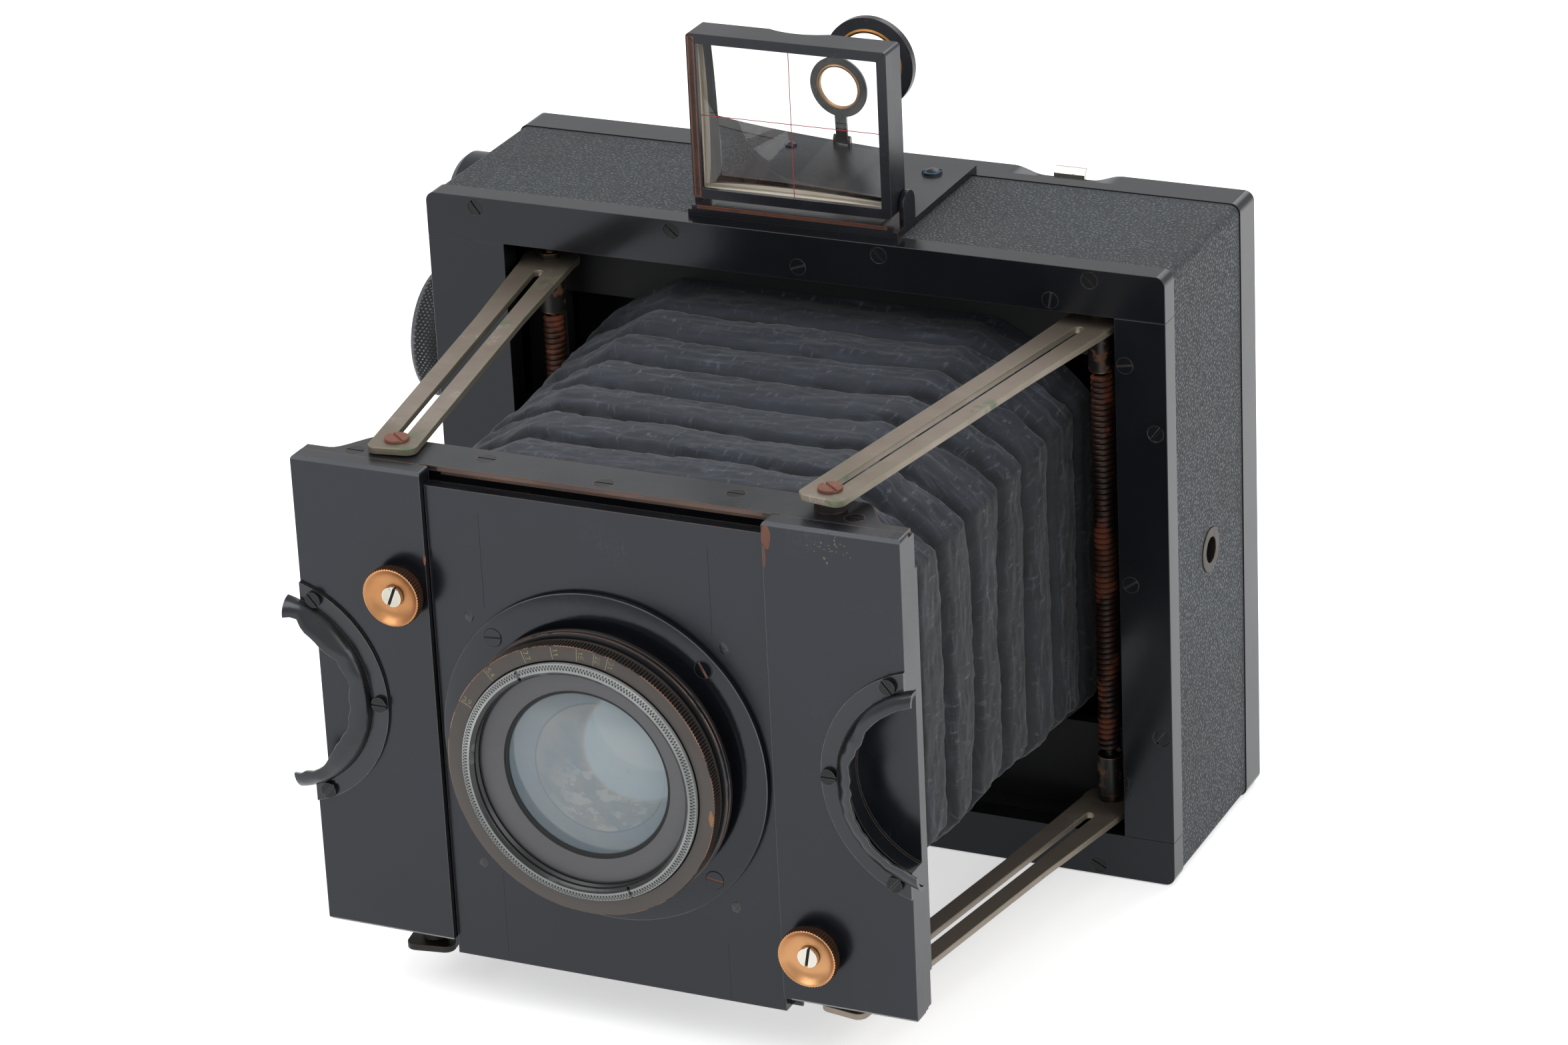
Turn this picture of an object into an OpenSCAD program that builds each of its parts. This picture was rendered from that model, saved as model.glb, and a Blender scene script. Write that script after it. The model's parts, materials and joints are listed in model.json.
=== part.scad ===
// Folding strut camera for glass plates: wooden body box with a roller-blind shutter,
// two vertical rods that carry four slotted struts, a front standard with a sliding
// lens board, pleated bellows and a folding optical finder.
// X runs to the right of the front, Y to the rear, Z up. The origin is the mouth of
// the tripod bush in the base. All sizes are millimetres.

/* [Body] */
// Width of the body box
body_w = 190; // [186:0.5:200]
// Height of the body box
body_h = 155.6; // [154:0.2:164]
// Depth of the body box with both frames
body_d = 60; // [59.5:0.5:68]
// Thickness of the front frame
front_t = 6; // [4.5:0.1:6.5]
// Depth of the rear frame
rear_t = 9.6; // [9:0.1:10]
// Thickness of the box walls
wall_t = 6; // [5:0.1:6.4]
// Thickness of the leather
leather_t = 0.8; // [0.5:0.1:1.2]
// How far the leather lies inside the edges of the frames
leather_inset = 0.3; // [0.1:0.05:0.6]
// Corner radius of the frames
frame_r = 2.4; // [1.5:0.1:4]
// Distance of the tripod bushes behind the front face
bush_set = 28; // [22:0.5:31]
// Outer radius of a tripod bush
bush_r = 5.5; // [5:0.1:7]
// Bore radius of a tripod bush
bush_bore_r = 3.2; // [2.8:0.05:4]
// Length of the side bush
bush_l = 10; // [8:0.5:12]
// Length of the base bush
base_bush_l = 6.6; // [5:0.1:6.8]
// How far the side bush lies under the middle
side_bush_drop = 1.6; // [-12:0.2:12]

/* [Front opening] */
// Height of the rails over and under the opening
rail_h = 11.3; // [10.8:0.1:11.4]
// Width of the left stile
left_stile_w = 20.4; // [19.8:0.1:21]
// Width of the right stile
right_stile_w = 12.6; // [12:0.1:13.2]

/* [Front standard] */
// Distance of the standard's face ahead of the body
extension = 115.1; // [100:0.5:125]
// Room between the standard and each side of the opening
std_side_room = 4.4; // [4:0.1:5]
// Room for the struts between the standard and each rail
strut_room = 8.1; // [8:0.1:8.6]
// Thickness of the side panels
panel_t = 4.6; // [4:0.1:4.8]
// Thickness of the back board
board_t = 4; // [3.6:0.1:4.1]
// Thickness taken off the corners of the back board
corner_relief = 1; // [0.6:0.1:1.4]
// Thickness of the metal edge plates
edge_plate_t = 1.2; // [0.8:0.1:1.6]
// Depth of the frame that carries the bellows
bellows_frame_t = 5.2; // [4:0.1:6]
// How far that frame lies inside the sides of the standard
bellows_frame_inset = 8.1; // [7.8:0.1:9.4]

/* [Lens board] */
// Width of the lens board
lens_board_w = 82.7; // [80:0.1:86]
// How much taller the lens board is than the standard
board_extra_h = 0.2; // [0:0.1:0.6]
// How far the lens board is lowered
board_drop = 3.5; // [3:0.1:3.6]
// How far its face lies behind the side panels
face_recess = 1.6; // [1:0.1:2.4]
// Width of a tongue
tongue_w = 2.5; // [2:0.1:3]
// Thickness of the tongue layer
tongue_t = 3; // [2.4:0.1:3.1]
// How far the lens sits below the middle of the board
lens_drop = 1.6; // [0:0.1:3]

/* [Struts] */
// Distance of a rod from the side of the opening
rod_inset = 7.2; // [7.2:0.1:7.6]
// Distance of the rods behind the front face
rod_y = 10; // [9.9:0.1:10.6]
// Radius of a rod
rod_r = 1.1; // [0.8:0.05:1.15]
// Distance of the strut screws from the sides of the standard
pin_inset = 21.1; // [20.6:0.1:22.4]
// Distance of the strut screws behind the face of the standard
pin_set = 11.7; // [11.6:0.05:12]
// Thickness of a strut
strut_t = 1.6; // [1.2:0.05:1.65]
// Width of a strut at its front end
strut_w = 11.6; // [9:0.1:11.8]
// Radius of the end that the rod passes through
strut_end_r = 7.1; // [6:0.1:7.15]
// Length of a strut past its screw
strut_nose = 5.2; // [4:0.1:5.4]
// Width of the slot
slot_w = 2.4; // [2:0.05:3]
// Distance from the rod to the end of the slot
slot_start = 10; // [8:0.1:12]
// Radius of the seat at the front end of the slot
seat_r = 2.2; // [1.8:0.05:2.4]
// Radius of a strut screw's head
stud_head_r = 2.8; // [2.6:0.05:3]
// Thickness of a strut screw's head
stud_head_t = 0.7; // [0.5:0.05:0.75]
// Radius of the spacer bushes
spacer_r = 3.7; // [3:0.05:3.75]
// Radius of the collars
collar_r = 3.1; // [2.9:0.05:3.2]
// Height of a collar under its strut
collar_h = 12; // [8:0.5:16]
// Radius of the spring wire
wire_r = 0.7; // [0.5:0.05:0.72]
// Number of curls in a spring
curls = 42; // [20:1:50]

/* [Lens] */
// Bare board at each side of the flange
flange_edge = 1.35; // [0.5:0.05:2.4]
// Thickness of the flange
flange_t = 1.5; // [1:0.1:1.6]
// How far the flange screws lie outside the middle of the flange's ring
flange_screw_out = 1.15; // [0:0.05:1.6]
// Radius of the neck
neck_r = 30.9; // [30.4:0.1:31.5]
// Radius of the tail behind the board
tail_r = 24; // [23:0.1:24.6]
// Length of the tail behind the face of the board
tail_l = 37.5; // [30:0.5:39]
// Radius of the stepped part
step_r = 33.2; // [32:0.1:35]
// Radius of the part that the aperture ring turns on
journal_r = 28.9; // [28.4:0.1:30]
// Outer radius of the aperture ring
ring_r = 32.9; // [31.5:0.1:34]
// Width of the aperture ring along the axis
ring_w = 4.6; // [3.6:0.1:5.2]
// Radius of the front glass
glass_r = 20.1; // [19.6:0.1:20.4]
// Radius of the glass that shows
clear_r = 19.65; // [18:0.05:19.5]
// Thickness of the retaining ring
retainer_t = 1.4; // [1:0.1:2]
// Number of iris blades
blades = 10; // [10:1:10]
// Thickness of a blade
blade_t = 0.2; // [0.1:0.02:0.26]
// Angle that a blade spans
blade_span = 136; // [110:1:140]

/* [Knobs and grips] */
// Radius of the clamp knobs
knob_r = 7.1; // [6:0.1:7.2]
// Height of the clamp knobs
knob_h = 5; // [4:0.1:7]
// Distance of the upper knob under the top of the standard
knob_high = 29.1; // [26:0.1:30]
// Distance of the lower knob over the bottom of the standard
knob_low = 14.4; // [12:0.1:20]
// Distance of the upper knob from the lens board
upper_knob_out = 6.95; // [6.5:0.05:8]
// Distance of the lower knob from the lens board
lower_knob_out = 8.55; // [7:0.05:9]
// Distance from a grip's centre to the edge of the panel
grip_out = 8; // [6:0.1:10]
// How far the grips lie over the middle
grip_rise = 0.2; // [-2:0.2:2]
// Outer radius of a grip plate
grip_r = 28.6; // [27:0.1:30]
// Radius of the cut-out in a side panel
cut_r = 22.6; // [20:0.1:23.2]
// Height of the raised lip
lip_h = 4.2; // [3:0.1:5.5]
// Thickness of the grip metal
grip_t = 0.8; // [0.5:0.05:1]
// Radius of the heads of the grip screws
grip_screw_r = 1.9; // [1.5:0.05:1.95]

/* [Shutter] */
// How far the shafts lie ahead of the middle between the partition and the mask
shaft_lead = 0.95; // [0:0.05:2]
// Depth of the upper roller under the top
roller_drop = 14.6; // [14.2:0.1:15.4]
// Distance of the winding shaft under the upper roller
gear_reach = 36; // [34:0.2:37]
// Radius of the rollers
roller_r = 6.4; // [5:0.1:6.6]
// Radius of the roller shafts
roller_shaft_r = 1.8; // [1.4:0.05:2.2]
// Radius of the winding knob
winding_r = 17; // [15:0.1:18.2]
// Height of the winding knob
winding_h = 17.4; // [12:0.1:18]
// Radius of the winding shaft
winding_shaft_r = 2.5; // [2:0.05:3]
// Radius of the flat dial
dial_r = 12; // [9:0.1:12.6]
// Height of the flat dial
dial_h = 7; // [4:0.1:8]
// How far the plate window lies inside each side of the opening
gate_side = 5.5; // [4:0.1:9]
// How far the plate window lies inside the top and the bottom of the opening
gate_end = 18.5; // [18:0.1:21]
// Room between the ends of the struts and the partition
partition_room = 2.9; // [1:0.1:3.4]
// Thickness of the partition
partition_t = 3.5; // [2.5:0.1:4]
// Thickness of the curtain
curtain_t = 0.4; // [0.2:0.05:0.6]
// Thickness of the plate mask
mask_t = 3; // [2:0.1:3.4]
// Thickness of a gear
gear_t = 3; // [2:0.1:3.2]
// Width of the plate that carries the gears
gear_plate_w = 18; // [16:0.2:20]
// How far that plate reaches under the winding shaft
gear_plate_end = 16; // [14:0.2:20]
// Radius of the shaft of the middle gear
idler_shaft_r = 1.5; // [1:0.05:1.8]

/* [Back] */
// Width of the ground glass frame's border round the plate window
screen_rim = 7; // [5:0.1:8]
// Thickness of the ground glass
screen_t = 2; // [1.4:0.1:2.4]
// Distance of the catch to the right of the middle
catch_x = 47.9; // [40:0.2:56]
// Length of the catch above its pivot
catch_l = 12.4; // [12.2:0.1:14]
// Width of the catch
catch_w = 8; // [5:0.1:9]
// Thickness of the catch
catch_t = 1.4; // [1:0.1:2]
// Depth of the finger recess
recess_h = 1.8; // [1:0.1:2.6]

/* [Finder] */
// Distance of the base plate behind the front face
finder_y = 4.6; // [3:0.1:5]
// Distance of the base plate ahead of the rear face
finder_end = 7.1; // [6:0.1:9]
// Thickness of the base plate
finder_plate_t = 1.6; // [1.2:0.1:1.8]
// Width of the finder frame
finder_w = 51; // [46:0.2:54]
// Height of the finder frame
finder_h = 41; // [36:0.2:41.4]
// Depth of the finder frame
finder_d = 8.4; // [7.6:0.1:8.8]
// Width of the frame's rim
finder_rim = 2.5; // [2.2:0.1:3.2]
// Height of the hinge above the body
hinge_z = 6.1; // [6:0.05:6.6]
// Radius of the hinge pins
hinge_pin_r = 1; // [0.7:0.05:1.1]
// Height of the eyepiece centre above the body
eye_z = 24.8; // [22:0.1:28]
// Outer radius of the eyepiece ring
eye_r = 11.6; // [9:0.1:12]
// Inner radius of the eyepiece ring
eye_bore_r = 7.8; // [6:0.1:8.4]
// Thickness of the eyepiece ring
eye_t = 2; // [1.4:0.1:2]

/* [Bellows] */
// Number of pleats
pleats = 8; // [5:1:12]
// Depth of the pleats
pleat_d = 2.2; // [1.5:0.1:4]
// How far the rear of the bellows lies inside each side of the opening
bellows_side = 13.5; // [13:0.1:16]
// How far it lies inside the top and the bottom of the opening
bellows_end = 11.5; // [11:0.1:14]
// How much narrower the bellows is in front
bellows_taper = 8; // [4:0.5:14]
// Width of the cut corners of the pleats
chamfer_w = 24; // [12:0.5:30]
// Height of the cut corners of the pleats
chamfer_h = 17; // [10:0.5:24]
// Thickness of the cloth
cloth_t = 0.8; // [0.5:0.1:1.2]

/* [Hidden] */
$fn = 72;

// Clearances
slide_gap = 0.2;
turn_gap = 0.06;
seat_gap = 0.3;
open_pivot_gap = 0.35;
head_gap = 0.15;
strut_gap = 0.4;
eps = 0.01;

// Colours
black = "#1c1d1f";
hide = "#232426";
nickel = "#a9a593";
steel = "#8d8a84";
copper = "#b0703f";
brass = "#b58a45";
rust = "#5b3222";
glass_tint = "#b9c4c8";

// Main lines of the body
mid_z = body_h / 2;
axis_x = (left_stile_w - right_stile_w) / 2;
opening_w = body_w - left_stile_w - right_stile_w;
opening_h = body_h - 2 * rail_h;
side_bush_z = mid_z - side_bush_drop;
box_w = body_w - 2 * (leather_t + leather_inset);
box_h = body_h - 2 * (leather_t + leather_inset);
rear_y = body_d - rear_t;
inner_w = box_w - 2 * wall_t;
inner_h = box_h - 2 * wall_t;
inner_top = mid_z + inner_h / 2;
inner_bottom = mid_z - inner_h / 2;

// Main lines of the standard and the struts
std_w = opening_w - 2 * std_side_room;
std_h = opening_h - 2 * strut_room;
bellows_frame_w = std_w - 2 * bellows_frame_inset;
lens_board_h = std_h + board_extra_h;
rod_offset = opening_w / 2 - rod_inset;
pin_offset = std_w / 2 - pin_inset;
grip_z = mid_z + grip_rise;
std_y = -extension;
board_y = std_y + panel_t;
board_back = board_y + board_t;
bellows_seat = board_back + bellows_frame_t;
pin_y = std_y + pin_set;
fold_travel = rod_y - pin_y;
// Farthest that the lower studs stray inwards while the struts swing evenly
stud_stray = 0.22 * fold_travel;
pin_r = sqrt(pow(rod_offset - pin_offset, 2) + pow(fold_travel, 2));
open_angle = atan((rod_offset - pin_offset) / fold_travel);
bearing_l = 3;

// Distances of the struts from the middle: the right one lies outside the left one at the
// top and inside it at the bottom, and both pass under the lowered lens board
strut_step = strut_t + stud_head_t + head_gap;
inner_level = std_h / 2 + open_pivot_gap;
under_level = lens_board_h / 2 + board_drop + seat_gap;
function top_level(side) = inner_level + (side > 0 ? strut_step : 0);
function low_level(side) = under_level + (side > 0 ? 0 : strut_step);

// Main lines of the lens
lens_face = std_y + face_recess;
lens_z = mid_z - board_drop - lens_drop;
flange_r = lens_board_w / 2 - flange_edge;
flange_screw_r = (flange_r + neck_r) / 2 + flange_screw_out;
step_h = [4.9, 8.7];
ring_h = step_h[1] + slide_gap;
front_h = ring_h + ring_w + 0.1;
bezel_r = journal_r - 2.9;
chamber_r = neck_r - 1.4;
chamber_h = [1.2, 5.4];
blade_pin_at = chamber_r - 1.5;
blade_pin_r = 0.5;
blade_eye_r = 1.3;
blade_pitch = 0.36;
blade_edge_r = blade_pin_at - blade_pin_r - 0.4;

// Main lines of the shutter
mask_y = rear_y - mask_t - 1;
partition_y = rod_y + strut_end_r + partition_room;
shaft_y = (partition_y + partition_t + mask_y) / 2 - shaft_lead;
roller_z = body_h - roller_drop;
winding_z = roller_z - gear_reach;
gate_w = opening_w - 2 * gate_side;
gate_h = opening_h - 2 * gate_end;
screen_w = gate_w + 2 * screen_rim;
screen_h = gate_h + 2 * screen_rim;
bellows_w = opening_w - 2 * bellows_side;
bellows_h = opening_h - 2 * bellows_end;
teeth = [24, 18, 12];
gear_module = gear_reach / (teeth[0] / 2 + teeth[1] + teeth[2] / 2);
gear_x = -inner_w / 2 + 1.4;
gear_plate_x = gear_x + gear_t + 1.2;
idler_z = winding_z + (teeth[0] + teeth[1]) / 2 * gear_module;
lower_z = body_h - roller_z;
side_x = -body_w / 2;

// Main lines of the finder
finder_l = body_d - finder_y - finder_end;
plate_top = body_h + finder_plate_t;
hinge_at = [finder_y + 7.5, body_h + hinge_z];
frame_z = hinge_at[1] - 1.7;
frame_y = hinge_at[0] - finder_d + 1.3;
ear_t = 1.2;
eye_pivot = [finder_y + finder_l + 0.1, body_h + 3.6];
stem_w = 4.8;

// Helpers

module seated() {
    translate([0, -bush_set, 0]) children();
}

module along_x(x0, x1) {
    translate([x0, 0, 0]) rotate([90, 0, 90]) linear_extrude(x1 - x0) children();
}

module along_y(y0, y1) {
    translate([0, y1, 0]) rotate([90, 0, 0]) linear_extrude(y1 - y0) children();
}

module along_z(z0, z1) {
    translate([0, 0, z0]) linear_extrude(z1 - z0) children();
}

module disc_x(y, z, r, x0, x1) {
    translate([x0, y, z]) rotate([0, 90, 0]) cylinder(r = r, h = x1 - x0);
}

module disc_y(x, z, r, y0, y1) {
    translate([x, y1, z]) rotate([90, 0, 0]) cylinder(r = r, h = y1 - y0);
}

module block(x0, x1, y0, y1, z0, z1) {
    translate([x0, y0, z0]) cube([x1 - x0, y1 - y0, z1 - z0]);
}

// Rectangle with round corners about the middle
module rounded_rect(w, h, r) {
    square([w - 2 * r, h], center = true);
    square([w, h - 2 * r], center = true);
    for (x = [-1, 1], y = [-1, 1]) translate([x * (w / 2 - r), y * (h / 2 - r)]) circle(r = r);
}

// Round outline with a row of fine ribs
module knurl(r, ribs, depth) {
    polygon([for (i = [0 : 2 * ribs - 1]) let (a = 180 * i / ribs, q = r - (i % 2) * depth)
        q * [cos(a), sin(a)]]);
}

// Slotted cheese-head or flush screw that looks along -Y
module slotted_head(r, t, slot = 0.5) {
    rotate([90, 0, 0]) difference() {
        cylinder(r = r, h = t, $fn = 32);
        translate([-r, -slot / 2, t - 0.4]) cube([2 * r, slot, 1]);
    }
}

// Body

module body_outline(w, h, r) {
    translate([0, mid_z]) rounded_rect(w, h, r);
}

module wood_outline() {
    body_outline(box_w, box_h, frame_r - leather_t - leather_inset + 0.3);
}

module body_box() {
    pad = bush_r + 4;
    seated() color(black) difference() {
        union() {
            difference() {
                along_y(front_t, rear_y) wood_outline();
                block(-inner_w / 2, inner_w / 2, front_t - 1, rear_y + 1, inner_bottom, inner_top);
            }
            block(body_w / 2 - bush_l - 1, inner_w / 2 + 1, bush_set - pad, bush_set + pad,
                  side_bush_z - pad, side_bush_z + pad);
        }
        disc_x(bush_set, side_bush_z, bush_r + turn_gap, body_w / 2 - bush_l - 0.05, body_w);
        translate([0, bush_set, -1]) cylinder(r = bush_r + turn_gap, h = base_bush_l + 1.05);
        for (s = [-1, 1]) translate([axis_x + s * rod_offset, rod_y, inner_bottom - bearing_l - slide_gap])
            cylinder(r = rod_r + turn_gap, h = inner_h + 2 * (bearing_l + slide_gap));
        disc_x(shaft_y, winding_z, winding_shaft_r + turn_gap, -body_w, 0);
        disc_x(shaft_y, roller_z, roller_shaft_r + turn_gap, -body_w, inner_w / 2 + bearing_l + slide_gap);
        disc_x(shaft_y, lower_z, roller_shaft_r + turn_gap,
               -inner_w / 2 - bearing_l - slide_gap, inner_w / 2 + bearing_l + slide_gap);
    }
}

module leather_covering() {
    skin_w = box_w + 2 * leather_t;
    skin_h = box_h + 2 * leather_t;
    seated() color(hide) difference() {
        along_y(front_t, rear_y) difference() {
            body_outline(skin_w, skin_h, frame_r);
            wood_outline();
        }
        disc_x(bush_set, side_bush_z, bush_r + 0.1, 0, body_w);
        translate([0, bush_set, -1]) cylinder(r = bush_r + 0.1, h = 5);
        disc_x(shaft_y, winding_z, winding_shaft_r + 0.6, -body_w, 0);
        disc_x(shaft_y, roller_z, roller_shaft_r + 0.6, -body_w, 0);
    }
}

// Seats of the front screws: place across and up
function front_screw_at() = [
    for (x = [-81.6, -29.4, 24, 76.6] / 95 * body_w / 2) [x, body_h - 2.7],
    for (x = [-81.6, -29.4, 24, 75.7] / 95 * body_w / 2) [x, 2.7],
    for (z = [mid_z - 39, mid_z + 39]) [body_w / 2 - 2.8, z]
];

module front_frame(part) {
    lo = mid_z - opening_h / 2;
    hi = mid_z + opening_h / 2;
    difference() {
        intersection() {
            along_y(0, front_t) body_outline(body_w, body_h, frame_r);
            union() {
                if (part == "rails") {
                    block(-body_w, body_w, 0, front_t, -1, lo);
                    block(-body_w, body_w, 0, front_t, hi, body_h + 1);
                }
                if (part == "stiles") {
                    block(-body_w, axis_x - opening_w / 2, 0, front_t, lo, hi);
                    block(axis_x + opening_w / 2, body_w, 0, front_t, lo, hi);
                }
            }
        }
        for (p = front_screw_at()) disc_y(p[0], p[1], 2, -1, 2);
        // Notch for the lowest stud, where the left strut folds in
        translate([axis_x - pin_offset, 0, mid_z - low_level(-1) - strut_t - stud_head_t - strut_gap])
            block(-stud_head_r - 1, stud_stray + stud_head_r + 1, -1, front_t + 1, 0, 2 * strut_step);
    }
}

module front_frame_rails() {
    seated() color(black) front_frame("rails");
}

module front_frame_stiles() {
    seated() color(black) front_frame("stiles");
}

// Screws of the front frame and the screw that the catch swings on
module body_screws() {
    catch_head = body_d + catch_t + 0.2;
    seated() color(steel) {
        for (p = front_screw_at()) translate([p[0], 2, p[1]])
            rotate([0, 17 * p[0], 0]) slotted_head(1.95, 1.9);
        disc_y(catch_x, catch_z, 1.5, body_d, catch_head);
        translate([catch_x, catch_head, catch_z]) rotate([0, 0, 180]) slotted_head(2.8, 1);
    }
}

module rear_frame() {
    seated() color(black) difference() {
        along_y(rear_y, body_d) body_outline(body_w, body_h, frame_r);
        block(axis_x - screen_w / 2, axis_x + screen_w / 2, rear_y - 1, body_d + 1,
              mid_z - screen_h / 2, mid_z + screen_h / 2);
        along_y(rear_y + 4, body_d + 1) translate([catch_x, body_h]) finger_recess();
    }
}

// Shallow dip with two easy ends
module finger_recess() {
    w = catch_w / 2 + 2;
    polygon([
        for (i = [0 : 8]) [-w - 8 + i, -recess_h * (1 - cos(180 * i / 8)) / 2],
        for (i = [0 : 8]) [w + i, -recess_h * (1 + cos(180 * i / 8)) / 2],
        [w + 8, 1], [-w - 8, 1]
    ]);
}

module ground_glass_frame() {
    w = screen_w - 2 * slide_gap;
    h = screen_h - 2 * slide_gap;
    seated() color(black) difference() {
        translate([axis_x, 0, mid_z]) along_y(rear_y, body_d - 0.4) square([w, h], center = true);
        translate([axis_x, 0, mid_z]) along_y(rear_y - 1, body_d) square([gate_w, gate_h], center = true);
        translate([axis_x, 0, mid_z]) along_y(rear_y - 1, rear_y + screen_t + 0.05)
            square([gate_w + 6, gate_h + 6], center = true);
    }
}

module ground_glass() {
    seated() color(glass_tint) translate([axis_x, 0, mid_z]) along_y(rear_y, rear_y + screen_t)
        square([gate_w + 5.6, gate_h + 5.6], center = true);
}

catch_z = body_h - catch_l;

module back_catch() {
    low = catch_z - (mid_z + screen_h / 2) + 3;
    y0 = body_d + 0.15;
    seated() color(nickel) difference() {
        union() {
            along_y(y0, y0 + catch_t) translate([catch_x, catch_z]) {
                circle(r = catch_w / 2 + 1);
                translate([-catch_w / 2, 0]) square([catch_w, catch_l - 1]);
                translate([-catch_w / 4, -low]) square([catch_w / 2, low]);
            }
            translate([catch_x, 0, catch_z + catch_l - 1]) along_x(-catch_w / 2, catch_w / 2)
                polygon([[y0, 0], [y0 + catch_t, 0], [y0 + 2.6, 1.1], [y0 + 1.2, 1.4]]);
        }
        disc_y(catch_x, catch_z, 1.5 + turn_gap, body_d, body_d + 5);
    }
}

module tripod_bushes() {
    seated() color(brass) {
        difference() {
            disc_x(bush_set, side_bush_z, bush_r, body_w / 2 - bush_l, body_w / 2);
            disc_x(bush_set, side_bush_z, bush_bore_r, 0, body_w);
        }
        translate([0, bush_set, 0]) difference() {
            cylinder(r = bush_r, h = base_bush_l);
            translate([0, 0, -1]) cylinder(r = bush_bore_r, h = base_bush_l + 2);
        }
    }
}

// Shutter

module gate_board(y0, y1) {
    translate([axis_x, 0, mid_z]) along_y(y0, y1) square([gate_w, gate_h], center = true);
}

module shutter_partition() {
    left = gear_plate_x + 2.6;
    seated() color(black) difference() {
        block(left, inner_w / 2 - 0.05, partition_y, partition_y + partition_t,
              inner_bottom + 0.05, inner_top - 0.05);
        gate_board(0, body_d);
        block(body_w / 2 - bush_l - 1.2, body_w, partition_y - 1, body_d,
              side_bush_z - 12, side_bush_z + 12);
    }
}

module plate_mask() {
    seated() color(black) difference() {
        block(gear_plate_x + 2.6, inner_w / 2 - 0.05, mask_y, mask_y + mask_t,
              inner_bottom + 0.05, inner_top - 0.05);
        gate_board(0, body_d);
    }
}

module shutter_curtain() {
    y0 = shaft_y + roller_r + 0.1;
    seated() color("#151515") translate([axis_x, 0, 0]) block(-gate_w / 2 - 2, gate_w / 2 + 2,
        y0, y0 + curtain_t, lower_z, roller_z);
}

// Involute tooth row: angle of the flank at radius r
function flank(r, rb) = r <= rb ? 0 : (sqrt(r * r / rb / rb - 1) * 180 / PI - acos(rb / r));
function tooth(z, m) =
    let (rp = z * m / 2, rb = rp * cos(25), rr = rp - 1.15 * m, ro = rp + 0.8 * m)
    let (half = 90 / z - 4 / z + flank(rp, rb))
    let (rs = [max(rr, rb), (max(rr, rb) + ro) / 2, ro])
    concat(
        [[rr, -half - 6 / z]],
        [for (r = rs) [r, -half + flank(r, rb)]],
        [for (i = [2 : -1 : 0]) [rs[i], half - flank(rs[i], rb)]],
        [[rr, half + 6 / z]]
    );
module gear(z, m, turn) {
    polygon([for (k = [0 : z - 1]) for (p = tooth(z, m))
        p[0] * [cos(p[1] + 360 * k / z + turn), sin(p[1] + 360 * k / z + turn)]]);
}

module gear_at(z, height, turn, bore) {
    difference() {
        translate([0, shaft_y, height]) along_x(gear_x, gear_x + gear_t) gear(z, gear_module, turn);
        disc_x(shaft_y, height, bore, gear_x - 1, gear_x + gear_t + 1);
    }
}

module gear_plate() {
    lo = winding_z - gear_plate_end;
    hi = inner_top - 1;
    post_r = 1.4;
    post_y = gear_plate_w / 2 - post_r - slide_gap;
    seated() color(brass) difference() {
        union() {
            block(gear_plate_x, gear_plate_x + 1.6,
                  shaft_y - gear_plate_w / 2, shaft_y + gear_plate_w / 2, lo, hi);
            for (z = [lo + 1.6, hi - 1.6], y = [-post_y, post_y])
                disc_x(shaft_y + y, z, post_r, -inner_w / 2, gear_plate_x + 0.5);
        }
        disc_x(shaft_y, winding_z, winding_shaft_r + turn_gap, -body_w, 0);
        disc_x(shaft_y, idler_z, idler_shaft_r + turn_gap, -body_w, 0);
        disc_x(shaft_y, roller_z, roller_shaft_r + turn_gap, -body_w, 0);
    }
}

module winding_knob() {
    x1 = side_x - seat_gap;
    rim = 1.2;
    seated() color(steel) {
        difference() {
            union() {
                translate([0, shaft_y, winding_z]) along_x(x1 - winding_h + rim, x1 - rim)
                    knurl(winding_r, 60, 0.5);
                disc_x(shaft_y, winding_z, winding_r - 1, x1 - winding_h, x1);
            }
            disc_x(shaft_y, winding_z, winding_r - 4.5, x1 - winding_h - 1, x1 - winding_h + 0.8);
        }
        disc_x(shaft_y, winding_z, winding_shaft_r, x1, gear_plate_x + 1.4);
    }
}

module winding_gear() {
    seated() color(brass) gear_at(teeth[0], winding_z, 0, winding_shaft_r);
}

module idler_gear() {
    seated() color(brass) {
        gear_at(teeth[1], idler_z, 0, idler_shaft_r - eps);
        disc_x(shaft_y, idler_z, idler_shaft_r, gear_x - 1, gear_plate_x + 1.5);
    }
}

module upper_roller() {
    left = gear_plate_x + 2;
    seated() color(steel) {
        disc_x(shaft_y, roller_z, roller_r, left, inner_w / 2 - 1);
        disc_x(shaft_y, roller_z, roller_shaft_r, side_x - seat_gap, left);
        disc_x(shaft_y, roller_z, roller_shaft_r, inner_w / 2 - 1, inner_w / 2 + bearing_l);
        gear_at(teeth[2], roller_z, 0, roller_shaft_r - eps);
    }
}

module slit_dial() {
    x1 = side_x - seat_gap;
    seated() color(black) difference() {
        translate([x1, shaft_y, roller_z]) rotate([0, -90, 0]) rotate_extrude() polygon([
            [0, 0], [dial_r, 0], [dial_r, dial_h - 1.6], [dial_r - 1.2, dial_h], [0, dial_h]
        ]);
        translate([x1 - dial_h, shaft_y - 0.6, roller_z - 3]) cube([1, 1.2, 6]);
    }
}

module lower_roller() {
    left = gear_plate_x + 2;
    seated() color(steel) {
        disc_x(shaft_y, lower_z, roller_r, left, inner_w / 2 - 1);
        disc_x(shaft_y, lower_z, roller_shaft_r, -inner_w / 2 - bearing_l, left);
        disc_x(shaft_y, lower_z, roller_shaft_r, inner_w / 2 - 1, inner_w / 2 + bearing_l);
    }
}

// Struts: side is 1 on the right and -1 on the left

module at_rod(side) {
    translate([axis_x + side * rod_offset, rod_y, 0]) children();
}

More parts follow.
